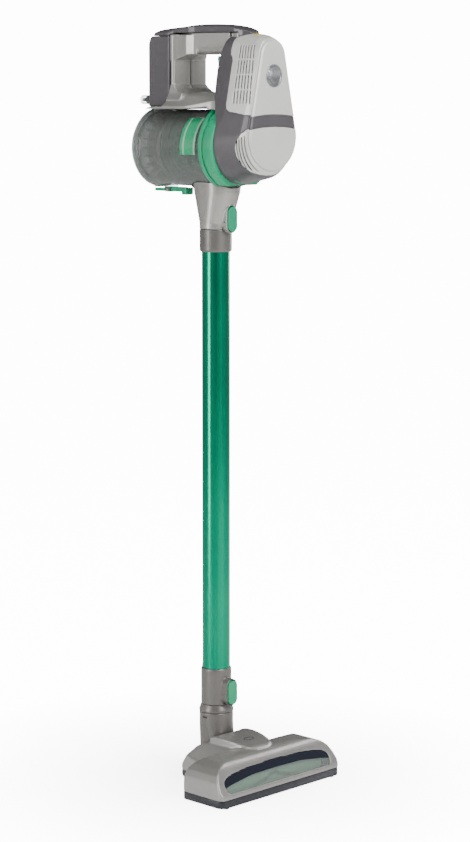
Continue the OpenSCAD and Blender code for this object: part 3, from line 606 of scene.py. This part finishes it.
# ---------------------------------------------------------------- geometry nodes
class Growth:
    """A Geometry Nodes tree with named inputs that ends in one painted mesh."""

    def __init__(self, name: str, inputs: dict[str, str]) -> None:
        """Starts the tree.

        Args:
            name: the tree's name.
            inputs: socket type of each named input.
        """
        self.group = bpy.data.node_groups.new(name, "GeometryNodeTree")
        self.group.interface.new_socket(name="Shape", in_out="INPUT", socket_type="NodeSocketGeometry")
        self.group.interface.new_socket(name="Shape", in_out="OUTPUT", socket_type="NodeSocketGeometry")
        kinds = {**inputs, "Turn": "NodeSocketVector", "Place": "NodeSocketVector", "Paint": "NodeSocketMaterial"}
        self.keys = {key: self.group.interface.new_socket(name=key, in_out="INPUT", socket_type=kind).identifier
                     for key, kind in kinds.items()}
        self.given = self.group.nodes.new("NodeGroupInput").outputs
        self.exit = self.group.nodes.new("NodeGroupOutput")

    def add(self, kind: str, **links: object) -> bpy.types.Node:
        """Adds a node and feeds its inputs.

        Args:
            kind: the node's type name.
            links: a socket or a constant for each input, by name with _ for a space.

        Returns:
            The new node.
        """
        node = self.group.nodes.new(kind)
        for key, value in links.items():
            self.feed(node.inputs[key.replace("_", " ")], value)
        return node

    def feed(self, target: bpy.types.NodeSocket, value: object) -> None:
        """Links a socket, or sets a constant."""
        if isinstance(value, bpy.types.NodeSocket):
            self.group.links.new(value, target)
        else:
            target.default_value = value

    def maths(self, operation: str, *values: object) -> bpy.types.NodeSocket:
        """Applies a maths operation to sockets or numbers.

        Args:
            operation: the operation's name.
            values: its operands.

        Returns:
            The result.
        """
        node = self.group.nodes.new("ShaderNodeMath")
        node.operation = operation
        for socket, value in zip(node.inputs, values):
            self.feed(socket, value)
        return node.outputs[0]

    def close(self, instances: bpy.types.NodeSocket) -> None:
        """Places the instances, makes them real and paints them."""
        moved = self.add("GeometryNodeTransform", Geometry=instances, Translation=self.given["Place"],
                         Rotation=self.given["Turn"])
        real = self.add("GeometryNodeRealizeInstances", Geometry=moved.outputs[0])
        paint = self.add("GeometryNodeSetMaterial", Geometry=real.outputs[0], Material=self.given["Paint"])
        self.feed(self.exit.inputs[0], paint.outputs[0])


def ring_growth() -> Growth:
    """Rows of copies round an axis, with a twist from row to row."""
    g = Growth("ring_growth", {"Count": "NodeSocketInt", "Rows": "NodeSocketInt", "Radius": "NodeSocketFloat",
                               "Start": "NodeSocketFloat", "Pitch": "NodeSocketFloat", "Twist": "NodeSocketFloat",
                               "Middle": "NodeSocketFloat", "Jitter": "NodeSocketFloat", "Seed": "NodeSocketInt"})
    index = g.add("GeometryNodeInputIndex").outputs[0]
    row = g.maths("FLOOR", g.maths("DIVIDE", g.maths("ADD", index, 0.5), g.given["Count"]))
    column = g.maths("SUBTRACT", index, g.maths("MULTIPLY", row, g.given["Count"]))
    step = g.maths("DIVIDE", math.tau, g.given["Count"])
    fold = g.maths("MULTIPLY", g.maths("ABSOLUTE", g.maths("SUBTRACT", row, g.given["Middle"])), g.given["Twist"])
    stray = g.add("FunctionNodeRandomValue", Seed=g.given["Seed"])
    shake = g.maths("MULTIPLY", g.maths("SUBTRACT", stray.outputs[1], 0.5), g.given["Jitter"])
    angle = g.maths("ADD", g.maths("ADD", g.maths("MULTIPLY", column, step), g.given["Start"]),
                    g.maths("ADD", fold, shake))
    spot = g.add("ShaderNodeCombineXYZ", X=g.maths("MULTIPLY", g.maths("COSINE", angle), g.given["Radius"]),
                 Y=g.maths("MULTIPLY", g.maths("SINE", angle), g.given["Radius"]),
                 Z=g.maths("MULTIPLY", row, g.given["Pitch"]))
    turn = g.add("ShaderNodeCombineXYZ", Y=shake, Z=angle)
    total = g.maths("MULTIPLY", g.given["Count"], g.given["Rows"])
    points = g.add("GeometryNodePoints", Count=total, Position=spot.outputs[0])
    copies = g.add("GeometryNodeInstanceOnPoints", Points=points.outputs[0], Instance=g.given["Shape"],
                   Rotation=turn.outputs[0])
    g.close(copies.outputs[0])
    return g


def place_growth() -> Growth:
    """One copy of a helper object on each vertex of the host mesh."""
    g = Growth("place_growth", {"Helper": "NodeSocketObject", "Facing": "NodeSocketVector"})
    points = g.add("GeometryNodeMeshToPoints", Mesh=g.given["Shape"])
    shape = g.add("GeometryNodeObjectInfo", Object=g.given["Helper"])
    copies = g.add("GeometryNodeInstanceOnPoints", Points=points.outputs[0], Instance=shape.outputs["Geometry"],
                   Rotation=g.given["Facing"])
    g.close(copies.outputs[0])
    return g


def mesh_of(name: str, corners: Sequence[Sequence[float]], faces: Sequence[Sequence[int]]) -> bpy.types.Mesh:
    """A mesh from corners given in millimetres, its faces turned outwards."""
    mesh = bpy.data.meshes.new(name)
    mesh.from_pydata([tuple(c * MM for c in corner) for corner in corners], [], faces)
    if faces:
        bm = bmesh.new()
        bm.from_mesh(mesh)
        bmesh.ops.recalc_face_normals(bm, faces=bm.faces)
        bm.to_mesh(mesh)
        bm.free()
    return mesh


def turned(name: str, profile: Sequence[tuple[float, float, float]], sides: int) -> bpy.types.Mesh:
    """A shape turned about Z, closed at both ends of its profile.

    Args:
        name: the mesh's name.
        profile: radius, height and lobe depth at each step, from the top down.
        sides: corners round the axis.

    Returns:
        The mesh.
    """
    corners, faces = [], []
    for radius, height, lobe in profile:
        for i in range(sides):
            a = math.tau * i / sides
            r = radius * (1.0 + lobe * math.cos(6 * a))
            corners.append((r * math.cos(a), r * math.sin(a), height))
    for k in range(len(profile) - 1):
        for i in range(sides):
            j = (i + 1) % sides
            faces.append((k * sides + i, (k + 1) * sides + i, (k + 1) * sides + j, k * sides + j))
    faces.append(tuple(range(sides)))
    faces.append(tuple((len(profile) - 1) * sides + i for i in reversed(range(sides))))
    return mesh_of(name, corners, faces)


def tapered(name: str, reach: tuple[float, float], half: tuple[float, float], depth: tuple[float, float],
            nose: float = 0.6) -> bpy.types.Mesh:
    """A rib that narrows outwards to a blunt nose.

    Args:
        name: the mesh's name.
        reach: inner and outer end along X.
        half: half width at the inner and outer end.
        depth: lower and upper end along Z.
        nose: how far the nose stands out.

    Returns:
        The mesh.
    """
    outline = [(reach[0], -half[0]), (reach[1], -half[1]), (reach[1] + nose, -half[1] * 0.4),
               (reach[1] + nose, half[1] * 0.4), (reach[1], half[1]), (reach[0], half[0])]
    n = len(outline)
    corners = [(x, y, z) for z in depth for x, y in outline]
    faces = [tuple(reversed(range(n))), tuple(range(n, 2 * n))]
    faces += [(i, (i + 1) % n, n + (i + 1) % n, n + i) for i in range(n)]
    return mesh_of(name, corners, faces)


def tuft(blades: int = 7) -> bpy.types.Mesh:
    """A small fan of pointed nylon blades along X."""
    corners, faces = [], []
    for i in range(blades):
        t = i / (blades - 1) - 0.5
        y, z, lean = 2.4 * t, 0.5 * math.cos(9.0 * i), 1.4 * t
        base = len(corners)
        for x, w in ((-0.6, 0.24), (3.4, 0.2)):
            shift = lean * (x + 0.6) / 5.0
            corners += [(x, y + shift - w, z - w), (x, y + shift + w, z - w), (x, y + shift, z + w)]
        corners.append((5.0 - abs(t), y + lean, z))
        for k in range(3):
            m = (k + 1) % 3
            faces.append((base + k, base + m, base + 3 + m, base + 3 + k))
            faces.append((base + 3 + k, base + 3 + m, base + 6))
        faces.append((base + 2, base + 1, base))
    return mesh_of("tuft", corners, faces)


def eyelet(inner: float, outer: float) -> bpy.types.Mesh:
    """A raised rim round a hole whose axis is X."""
    corners, faces, sides = [], [], 16
    section = ((-0.4, outer), (0.35, outer - 0.15), (0.5, (inner + outer) / 2), (0.35, inner + 0.1), (-0.4, inner))
    for x, r in section:
        corners += [(x, r * math.cos(math.tau * i / sides), r * math.sin(math.tau * i / sides))
                    for i in range(sides)]
    for k in range(len(section)):
        for i in range(sides):
            j, m = (i + 1) % sides, (k + 1) % len(section)
            faces.append((k * sides + i, k * sides + j, m * sides + j, m * sides + i))
    return mesh_of("eyelet", corners, faces)


def screw(name: str, radius: float, length: float) -> bpy.types.Mesh:
    """A pan-head screw along Z with a six-lobed drive; the head's base is at 0.

    Args:
        name: the mesh's name.
        radius: the head's radius in millimetres.
        length: the shank's length in millimetres.

    Returns:
        The mesh.
    """
    r = radius
    root, crest_height, pitch = 1.15, 0.3, 0.6
    profile = [(0.1 * r, 0.5, 0.0), (0.42 * r, 0.5, 0.16), (0.46 * r, 1.9, 0.16), (0.56 * r, 2.1, 0.0),
               (0.8 * r, 1.85, 0.0), (0.95 * r, 1.3, 0.0), (r, 0.7, 0.0), (r, 0.0, 0.0), (1.4, 0.0, 0.0)]
    profile += [(root + crest_height * (k % 2), -pitch * k - pitch, 0.0) for k in range(int(length / pitch) - 1)]
    return turned(name, profile, 48)


def spots(places: Sequence[Place]) -> bpy.types.Mesh:
    """A mesh of loose vertices at the places where copies stand."""
    return mesh_of("spots", places, [])


GROWTHS: dict[str, Growth] = {}


@dataclass(frozen=True)
class Grown:
    """A repeated detail grown by Geometry Nodes into one mesh, placed in millimetres and turned in degrees."""

    name: str
    body: Body
    paint: str
    slot: str
    shape: Callable[[], bpy.types.Mesh]
    place: Place = (0, 0, 0)
    turn: Place = (0, 0, 0)
    settings: dict[str, float] = field(default_factory=dict)
    helper: Callable[[], bpy.types.Mesh] | None = None
    replaces: tuple[str, ...] = ()

    def make(self) -> None:
        """Grows the detail, turns it into a plain mesh and hangs it on its body."""
        kind = "place" if self.helper else "ring"
        if kind not in GROWTHS:
            GROWTHS[kind] = place_growth() if self.helper else ring_growth()
        growth = GROWTHS[kind]
        piece = new_object(self.name, self.shape())
        values: dict[str, object] = {"Count": 1, "Rows": 1} if kind == "ring" else {}
        values.update(self.settings)
        values["Turn"] = tuple(math.radians(v) for v in self.turn)
        values["Place"] = tuple(v * MM for v in self.place)
        values["Paint"] = PAINTS.get(self.paint)
        if self.helper:
            values["Helper"] = new_object(f"{self.name}_helper", self.helper())
            values["Facing"] = tuple(math.radians(v) for v in self.settings["Facing"])
        grower = piece.modifiers.new("grow", "NODES")
        grower.node_group = growth.group
        for key, value in values.items():
            grower[growth.keys[key]] = value
        baked(piece, 0.7)
        if self.helper:
            bpy.data.objects.remove(values["Helper"])
        adopt(piece, self.body, self.paint, self.replaces)


# ---------------------------------------------------------------- sub-assemblies
ALONG_Y = (-90.0, 0.0, 0.0)  # turns a ring about Z to one about Y
ALONG_X = (0.0, 90.0, 0.0)  # turns a ring about Z to one about X


@dataclass
class Assembly:
    """A group of pieces that are dressed or grown in order."""

    parts: list[Moulding] = field(default_factory=list)

    def details(self) -> list[Grown]:
        """The repeated details that are grown on the group's pieces."""
        return []

    def build(self) -> None:
        """Makes every piece of the group."""
        for part in (*self.parts, *self.details()):
            part.make()


@dataclass
class FloorHead(Assembly):
    """Powered floor head with brush, wheels, window and neck."""

    brush_start: Place = (-97.3, -103.0, 20.5)
    brush_rows: int = 140
    brush_pitch: float = 1.4
    brush_radius: float = 12.6
    wheel_axle: Place = (40, 19, 7.5)
    wheel_radius: float = 6.3
    swivel_notch: Place = (-23.7, -0.7, 90.0)
    screw_height: float = 6.0
    screw_places: tuple[tuple[float, float], ...] = ((116.6, -76.0), (44.0, -40.0), (62.0, -126.6))
    parts: list[Moulding] = field(default_factory=lambda: [
        Moulding("head_base", Body.HEAD, "base_dark", Edge.EASED, 0.6),
        Moulding("head_cover", Body.HEAD, "head_grey", Edge.SCULPTED, 1.15, 12),
        Moulding("window_lens", Body.HEAD, "clear_window"),
        Moulding("window_trim", Body.HEAD, "navy_gloss"),
        Moulding("front_glides", Body.HEAD, "duct_black"),
        Moulding("brush_motor", Body.HEAD, "steel"),
        Moulding("drive_belt", Body.HEAD, "rubber_black"),
        Moulding("suction_duct", Body.HEAD, "duct_black"),
        Moulding("brush_end_caps", Body.HEAD, "base_dark"),
        Moulding("head_pins", Body.HEAD, "steel"),
        Moulding("head_badge", Body.HEAD, "dark_grey"),
        Moulding("brush_core", Body.BRUSH, "brush_green"),
        Moulding("brush_pulley", Body.BRUSH, "dark_grey"),
        Moulding("motor_pulley", Body.DRIVE_PULLEY, "brass"),
        Moulding("wheel_left", Body.LEFT_WHEEL, "rubber_black", Edge.EASED, 0.7),
        Moulding("wheel_right", Body.RIGHT_WHEEL, "rubber_black", Edge.EASED, 0.7),
        Moulding("neck_elbow", Body.NECK, "collar_grey", Edge.SCULPTED, 0.9, 8),
        Moulding("swivel_ring", Body.SWIVEL, "collar_grey", Edge.EASED, 0.4),
        Moulding("neck_spigot", Body.SWIVEL, "spigot_grey"),
        Moulding("spigot_seal", Body.SWIVEL, "rubber_black"),
    ])

    def details(self) -> list[Grown]:
        """Brush tufts, screws, swivel catch and wheel treads."""
        screws = [(side * x, y, self.screw_height) for side in (-1, 1) for x, y in self.screw_places]
        return [
            Grown("bristle_tufts", Body.BRUSH, "brush_green", "brush_green", tuft, self.brush_start, ALONG_X,
                  {"Count": 3, "Rows": self.brush_rows, "Radius": self.brush_radius * MM,
                   "Pitch": self.brush_pitch * MM, "Twist": math.radians(1.714),
                   "Middle": (self.brush_rows - 1) / 2, "Jitter": 0.16, "Seed": 7}, replaces=("bristle_rows",)),
            Grown("sole_screws", Body.HEAD, "steel", "steel", lambda: spots(screws),
                  settings={"Facing": (180, 0, 0)}, helper=lambda: screw("sole_screw", 3.4, 12.0),
                  replaces=("base_screws",)),
            Grown("swivel_catch", Body.NECK, "duct_black", "duct_black", lambda: spots([self.swivel_notch]),
                  settings={"Facing": (0, 0, 180)},
                  helper=lambda: tapered("catch", (-0.6, 0.9), (4.2, 3.8), (-0.9, 0.9), 0.15)),
            self.tread("left_tread", Body.LEFT_WHEEL, -1),
            self.tread("right_tread", Body.RIGHT_WHEEL, 1),
        ]

    def tread(self, name: str, body: Body, side: int) -> Grown:
        """The raised treads of one wheel.

        Args:
            name: the piece's name.
            body: the wheel's body.
            side: -1 for the left wheel and 1 for the right.

        Returns:
            The detail.
        """
        x, y, z = self.wheel_axle
        return Grown(name, body, "rubber_black", "rubber_black",
                     lambda: tapered("tread", (0, 0.5), (0.55, 0.35), (-4.9, -4.3), 0.15), (side * x, y, z), ALONG_X,
                     {"Count": 24, "Rows": 2, "Radius": self.wheel_radius * MM, "Pitch": 9.2 * MM})


@dataclass
class Wand(Assembly):
    """Tube wand with its collars and release button."""

    parts: list[Moulding] = field(default_factory=lambda: [
        Moulding("wand_tube", Body.WAND, "green_tube"),
        Moulding("wand_lower_collar", Body.WAND, "collar_grey", Edge.SCULPTED, 0.6, 6),
        Moulding("wand_upper_collar", Body.WAND, "collar_grey", Edge.SCULPTED, 0.6, 3),
        Moulding("wand_spigot", Body.WAND, "spigot_grey"),
        Moulding("wand_wire", Body.WAND, "rubber_black"),
        Moulding("wand_button", Body.WAND_RELEASE, "green", Edge.SCULPTED, 0.4, 4),
    ])


@dataclass
class Handheld(Assembly):
    """Handheld unit: loop handle, battery, motor pod and nozzle neck."""

    comb_pitch: float = 3.0
    comb_side: int = 7
    comb_middle_y: float = 5.4
    comb_rear_radius: float = 29.4
    comb_cup_radius: float = 54.9
    filter_y: float = -68.0
    filter_radius: float = 30.6
    screw_places: tuple[Place, ...] = ((14.5, -12.0, 1053.0), (14.5, 34.0, 1053.0), (9.5, -51.0, 1020.0))
    parts: list[Moulding] = field(default_factory=lambda: [
        Moulding("left_shell", Body.HANDHELD, "silver", Edge.SCULPTED, 0.8, 14),
        Moulding("right_shell", Body.HANDHELD, "silver", Edge.SCULPTED, 0.8, 14),
        Moulding("spine_cover", Body.HANDHELD, "dark_grey", Edge.SCULPTED, 0.8, 8),
        Moulding("battery_housing", Body.HANDHELD, "dark_grey", Edge.SCULPTED, 0.8, 4),
        Moulding("battery_cells", Body.HANDHELD, "cell_wrap"),
        Moulding("pod_housing", Body.HANDHELD, "dark_grey", Edge.SCULPTED, 0.7, 4),
        # the pod front shell and face plate take the lighter silver copy that paints in the key lamp's light
        Moulding("pod_front_shell", Body.HANDHELD, "painted_lit_silver", Edge.SCULPTED, 0.55, 2),
        Moulding("face_plate", Body.HANDHELD, "painted_lit_silver", Edge.SCULPTED, 0.6, 5),
        Moulding("name_band", Body.HANDHELD, "dark_grey", Edge.SCULPTED, 0.5, 3),
        Moulding("badge", Body.HANDHELD, "badge_metal", Edge.EASED, 0.3),
        Moulding("indicator_lens", Body.HANDHELD, "yellow_lens", Edge.EASED, 0.4),
        Moulding("motor_ring", Body.HANDHELD, "green", Edge.EASED, 1.2),
        Moulding("motor_can", Body.HANDHELD, "steel"),
        Moulding("exhaust_filter", Body.HANDHELD, "filter_white"),
        Moulding("circuit_board", Body.HANDHELD, "board"),
        Moulding("trigger_switch", Body.HANDHELD, "duct_black"),
        Moulding("charge_jack", Body.HANDHELD, "duct_black"),
        Moulding("nozzle_neck", Body.HANDHELD, "silver", Edge.SCULPTED, 0.7, 12),
        Moulding("trigger", Body.TRIGGER, "green", Edge.EASED, 1.0),
        Moulding("nozzle_button", Body.NOZZLE_RELEASE, "pale_green", Edge.SCULPTED, 0.4, 4),
        Moulding("impeller", Body.FAN, "duct_black"),
    ])

    def comb_places(self) -> list[Place]:
        """Where the comb's teeth stand: on the back of the neck, along the cup's underside."""
        across = [self.comb_pitch * k for k in range(-self.comb_side, self.comb_side + 1)]
        return [(x, self.comb_middle_y + math.sqrt(self.comb_rear_radius ** 2 - x * x),
                 MAIN_Z - math.sqrt(self.comb_cup_radius ** 2 - x * x)) for x in across]

    def details(self) -> list[Grown]:
        """Handle screws, neck comb and exhaust pleats."""
        return [
            Grown("handle_screws", Body.HANDHELD, "steel", record_slot("case_screws"),
                  lambda: spots(self.screw_places), settings={"Facing": (0, 90, 0)},
                  helper=lambda: screw("handle_screw", 3.0, 11.0), replaces=("case_screws",)),
            Grown("neck_comb", Body.HANDHELD, "duct_black", "duct_black", lambda: spots(self.comb_places()),
                  settings={"Facing": (0, 0, 90)},
                  helper=lambda: tapered("comb", (-2.2, 0.6), (0.9, 0.6), (-2.6, 0.2), 0.3)),
            Grown("filter_pleats", Body.HANDHELD, "filter_white", "filter_white",
                  lambda: tapered("fold", (-0.9, 0.4), (0.75, 0.3), (0.4, 25.6), 0.3), (0, self.filter_y, MAIN_Z),
                  (90, 0, 0), {"Count": 72, "Radius": self.filter_radius * MM}),
        ]


@dataclass
class DustCup(Assembly):
    """Clear dust cup with its cyclone parts, door and latch."""

    shroud_radius: float = 38.0
    separator_radius: float = 41.8
    gasket_radius: float = 50.2
    filter_radius: float = 26.4
    parts: list[Moulding] = field(default_factory=lambda: [
        Moulding("cup_shell", Body.CUP, "clear_cup", Edge.EASED, 0.5),
        Moulding("cyclone_shroud", Body.CUP, "shroud_smoke"),
        Moulding("separator_ring", Body.CUP, "separator"),
        Moulding("cup_filter", Body.CUP, "filter_white"),
        Moulding("cup_label", Body.CUP, "label_green"),
        Moulding("hinge_pins", Body.CUP, "steel"),
        Moulding("cup_door", Body.DOOR, "door_clear", Edge.EASED, 0.6),
        Moulding("door_seal", Body.DOOR, "rubber_black"),
        Moulding("cup_latch", Body.LATCH, "green", Edge.EASED, 0.5),
    ])

    def details(self) -> list[Grown]:
        """Separator teeth, shroud eyelets, cyclone ramp, gasket lip and filter folds."""
        shroud = self.shroud_radius
        return [
            self.ring("separator_teeth", "separator",
                      lambda: tapered("tooth", (0, 0.9), (0.8, 0.45), (0.6, 15.4), 0.3), 80, self.separator_radius,
                      Count=96),
            self.ring("shroud_eyelets", "shroud_smoke", lambda: eyelet(1.8, 2.6), 12, shroud,
                      Count=18, Rows=4, Pitch=10 * MM, Start=math.radians(90)),
            self.ring("cyclone_ramp", "separator",
                      lambda: tapered("vane", (-0.4, 11.8), (2.2, 2.6), (-0.5, 0.5), 0.3), 40, shroud + 0.2,
                      Rows=90, Pitch=0.36 * MM, Twist=math.radians(3.4), Start=math.radians(20)),
            self.ring("cup_gasket", "rubber_black",
                      lambda: tapered("lip", (-1.2, 0.1), (1.1, 0.7), (0, 3.2), 0.2), -22.5, self.gasket_radius,
                      Count=108),
            self.ring("filter_folds", "filter_white",
                      lambda: tapered("fold", (-1.0, 2.6), (0.7, 0.35), (2.0, 64.0), 0.5), -36, self.filter_radius,
                      Count=60),
        ]

    def ring(self, name: str, paint: str, shape: Callable[[], bpy.types.Mesh], start: float, radius: float,
             **settings: float) -> Grown:
        """A detail that stands round the cup's axis.

        Args:
            name: the piece's name.
            paint: a name in FINISHES.
            shape: makes the mesh of one copy.
            start: where the first row stands along Y, in millimetres.
            radius: the ring's radius in millimetres.
            settings: the tree's other inputs, by name.

        Returns:
            The detail.
        """
        return Grown(name, Body.CUP, paint, paint, shape, (0, start, MAIN_Z), ALONG_Y,
                     {**settings, "Radius": radius * MM})


# ---------------------------------------------------------------- studio
@dataclass(frozen=True)
class SoftBox:
    """One rectangular studio light aimed at a point."""

    name: str
    place: Place
    aim: Place
    size: tuple[float, float]
    power: float
    color: Color = (1.0, 1.0, 1.0)

    def build(self) -> None:
        """Puts the light in the scene."""
        lamp = bpy.data.lights.new(self.name, "AREA")
        lamp.shape = "RECTANGLE"
        lamp.size, lamp.size_y = self.size
        lamp.energy = self.power
        lamp.color = self.color
        holder = bpy.data.objects.new(self.name, lamp)
        bpy.context.scene.collection.objects.link(holder)
        holder.location = self.place
        aim = Vector(self.aim) - Vector(self.place)
        holder.rotation_euler = aim.to_track_quat("-Z", "Y").to_euler()


@dataclass
class Studio:
    """Pale floor, white surroundings, soft boxes and camera."""

    azimuth: float = -45.5
    pitch: float = 8.2
    distance: float = 3.3857
    aim_height: float = 0.52067
    aim_right: float = 0.02714
    focal: float = 101.33
    middle: Place = (0.0, 0.0, 0.55)
    floor_half: float = 150.0
    floor_gap: float = 0.0003

    def build(self) -> None:
        """Makes the whole studio."""
        self.floor()
        self.world()
        self.camera()
        right = self.frame_axes()[0]
        toward = Vector((math.sin(math.radians(self.azimuth)), -math.cos(math.radians(self.azimuth)), 0.0))
        mid = Vector(self.middle)
        lights = (
            ("key", mid + right * 1.6 + toward * 1.7 + Vector((0, 0, 1.3)), (0.9, 1.2), 78.0),
            ("strip", mid - right * 1.7 + toward * 1.1 + Vector((0, 0, 0.2)), (0.35, 2.0), 26.0),
            ("rim", mid + right * 1.3 - toward * 1.4 + Vector((0, 0, 0.8)), (0.4, 1.8), 16.0),
            ("top", mid + toward * 0.7 + Vector((0, 0, 2.3)), (1.0, 1.0), 20.0),
        )
        for name, place, size, power in lights:
            SoftBox(name, tuple(place), self.middle, size, power).build()

    def frame_axes(self) -> tuple[Vector, Vector, Vector]:
        """Right, up and backward directions of the camera."""
        a, p = math.radians(self.azimuth), math.radians(self.pitch)
        right = Vector((math.cos(a), math.sin(a), 0.0))
        back = Vector((math.sin(a) * math.cos(p), -math.cos(a) * math.cos(p), math.sin(p)))
        return right, back.cross(right), back

    def camera(self) -> None:
        """Creates the camera."""
        right, up, back = self.frame_axes()
        lens = bpy.data.cameras.new("view")
        lens.sensor_fit = "VERTICAL"
        lens.sensor_height = 36.0
        lens.lens = self.focal
        lens.clip_end = 100.0
        eye = bpy.data.objects.new("view", lens)
        bpy.context.scene.collection.objects.link(eye)
        place = Vector((0.0, 0.0, self.aim_height)) + right * self.aim_right + back * self.distance
        turn = Matrix((right, up, back)).transposed().to_4x4()
        eye.matrix_world = Matrix.Translation(place) @ turn
        bpy.context.scene.camera = eye

    def floor(self) -> None:
        """Makes the pale floor with a painted glow: seen by the camera its emission rises from 5 near the object to
        14 half a metre out, whitening it, and other rays see a faint glow of 0.16.
        """
        mesh = bpy.data.meshes.new("floor")
        s = self.floor_half
        mesh.from_pydata([(-s, -s, 0), (s, -s, 0), (s, s, 0), (-s, s, 0)], [], [(0, 1, 2, 3)])
        floor = new_object("floor", mesh)
        floor.location.z = -self.floor_gap
        r = Recipe("pale_floor")
        r.to("Base Color", r.blend(r.noise(3.0, 2.0), (0.93, 0.93, 0.925), (0.95, 0.95, 0.945)))
        reach = r.add("ShaderNodeVectorMath", operation="LENGTH")
        r.link(r.coords, reach.inputs[0])
        # painted glow: the floor's emission is dimmer near the object and brightens away from it
        painted_glow = r.span(reach.outputs["Value"], 5.0, 14.0, 0.04, 0.5)
        seen = r.add("ShaderNodeLightPath").outputs["Is Camera Ray"]
        mix = r.add("ShaderNodeMix", data_type="FLOAT")
        r.link(seen, mix.inputs[0])
        mix.inputs[2].default_value = 0.16
        r.link(painted_glow, mix.inputs[3])
        r.to("Emission Strength", mix.outputs[0])
        r.fix(Roughness=0.6, Specular_IOR_Level=0.2, Emission_Color=(1.0, 1.0, 1.0))
        mesh.materials.append(r.material)

    def world(self) -> None:
        """Makes the surroundings: a white backdrop, with bright wings left and right for the reflections."""
        world = bpy.data.worlds.new("sweep")
        world.use_nodes = True
        tree = world.node_tree
        back = tree.nodes["Background"]
        back.inputs["Color"].default_value = (1.0, 1.0, 1.0, 1.0)
        coords = tree.nodes.new("ShaderNodeTexCoord")
        split = tree.nodes.new("ShaderNodeSeparateXYZ")
        fall = tree.nodes.new("ShaderNodeMapRange")
        fall.interpolation_type = "SMOOTHSTEP"
        for name, number in (("From Min", 0.02), ("From Max", 0.5), ("To Min", 0.62), ("To Max", 0.12)):
            fall.inputs[name].default_value = number
        path = tree.nodes.new("ShaderNodeLightPath")
        mix = tree.nodes.new("ShaderNodeMix")
        mix.data_type = "FLOAT"
        mix.inputs[3].default_value = 14.0
        tree.links.new(coords.outputs["Generated"], split.inputs["Vector"])
        tree.links.new(split.outputs["Z"], fall.inputs["Value"])
        side = tree.nodes.new("ShaderNodeVectorMath")
        side.operation = "DOT_PRODUCT"
        side.inputs[1].default_value = self.frame_axes()[0]
        tree.links.new(coords.outputs["Generated"], side.inputs[0])
        spread = tree.nodes.new("ShaderNodeMath")
        spread.operation = "ABSOLUTE"
        tree.links.new(side.outputs["Value"], spread.inputs[0])
        wings = tree.nodes.new("ShaderNodeMapRange")
        for name, number in (("From Min", 0.2), ("From Max", 0.85), ("To Min", 0.22), ("To Max", 1.9)):
            wings.inputs[name].default_value = number
        tree.links.new(spread.outputs[0], wings.inputs["Value"])
        level = tree.nodes.new("ShaderNodeMath")
        level.operation = "MULTIPLY"
        tree.links.new(fall.outputs["Result"], level.inputs[0])
        tree.links.new(wings.outputs["Result"], level.inputs[1])
        tree.links.new(path.outputs["Is Camera Ray"], mix.inputs[0])
        tree.links.new(level.outputs[0], mix.inputs[2])
        tree.links.new(mix.outputs[0], back.inputs["Strength"])
        bpy.context.scene.world = world


def main() -> None:
    """Builds the studio and every sub-assembly."""
    logging.basicConfig(level=logging.INFO, format="%(message)s")
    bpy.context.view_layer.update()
    Studio().build()
    for assembly in (FloorHead(), Wand(), Handheld(), DustCup()):
        LOG.info("building %s", type(assembly).__name__)
        assembly.build()


if __name__ == "__main__":
    main()
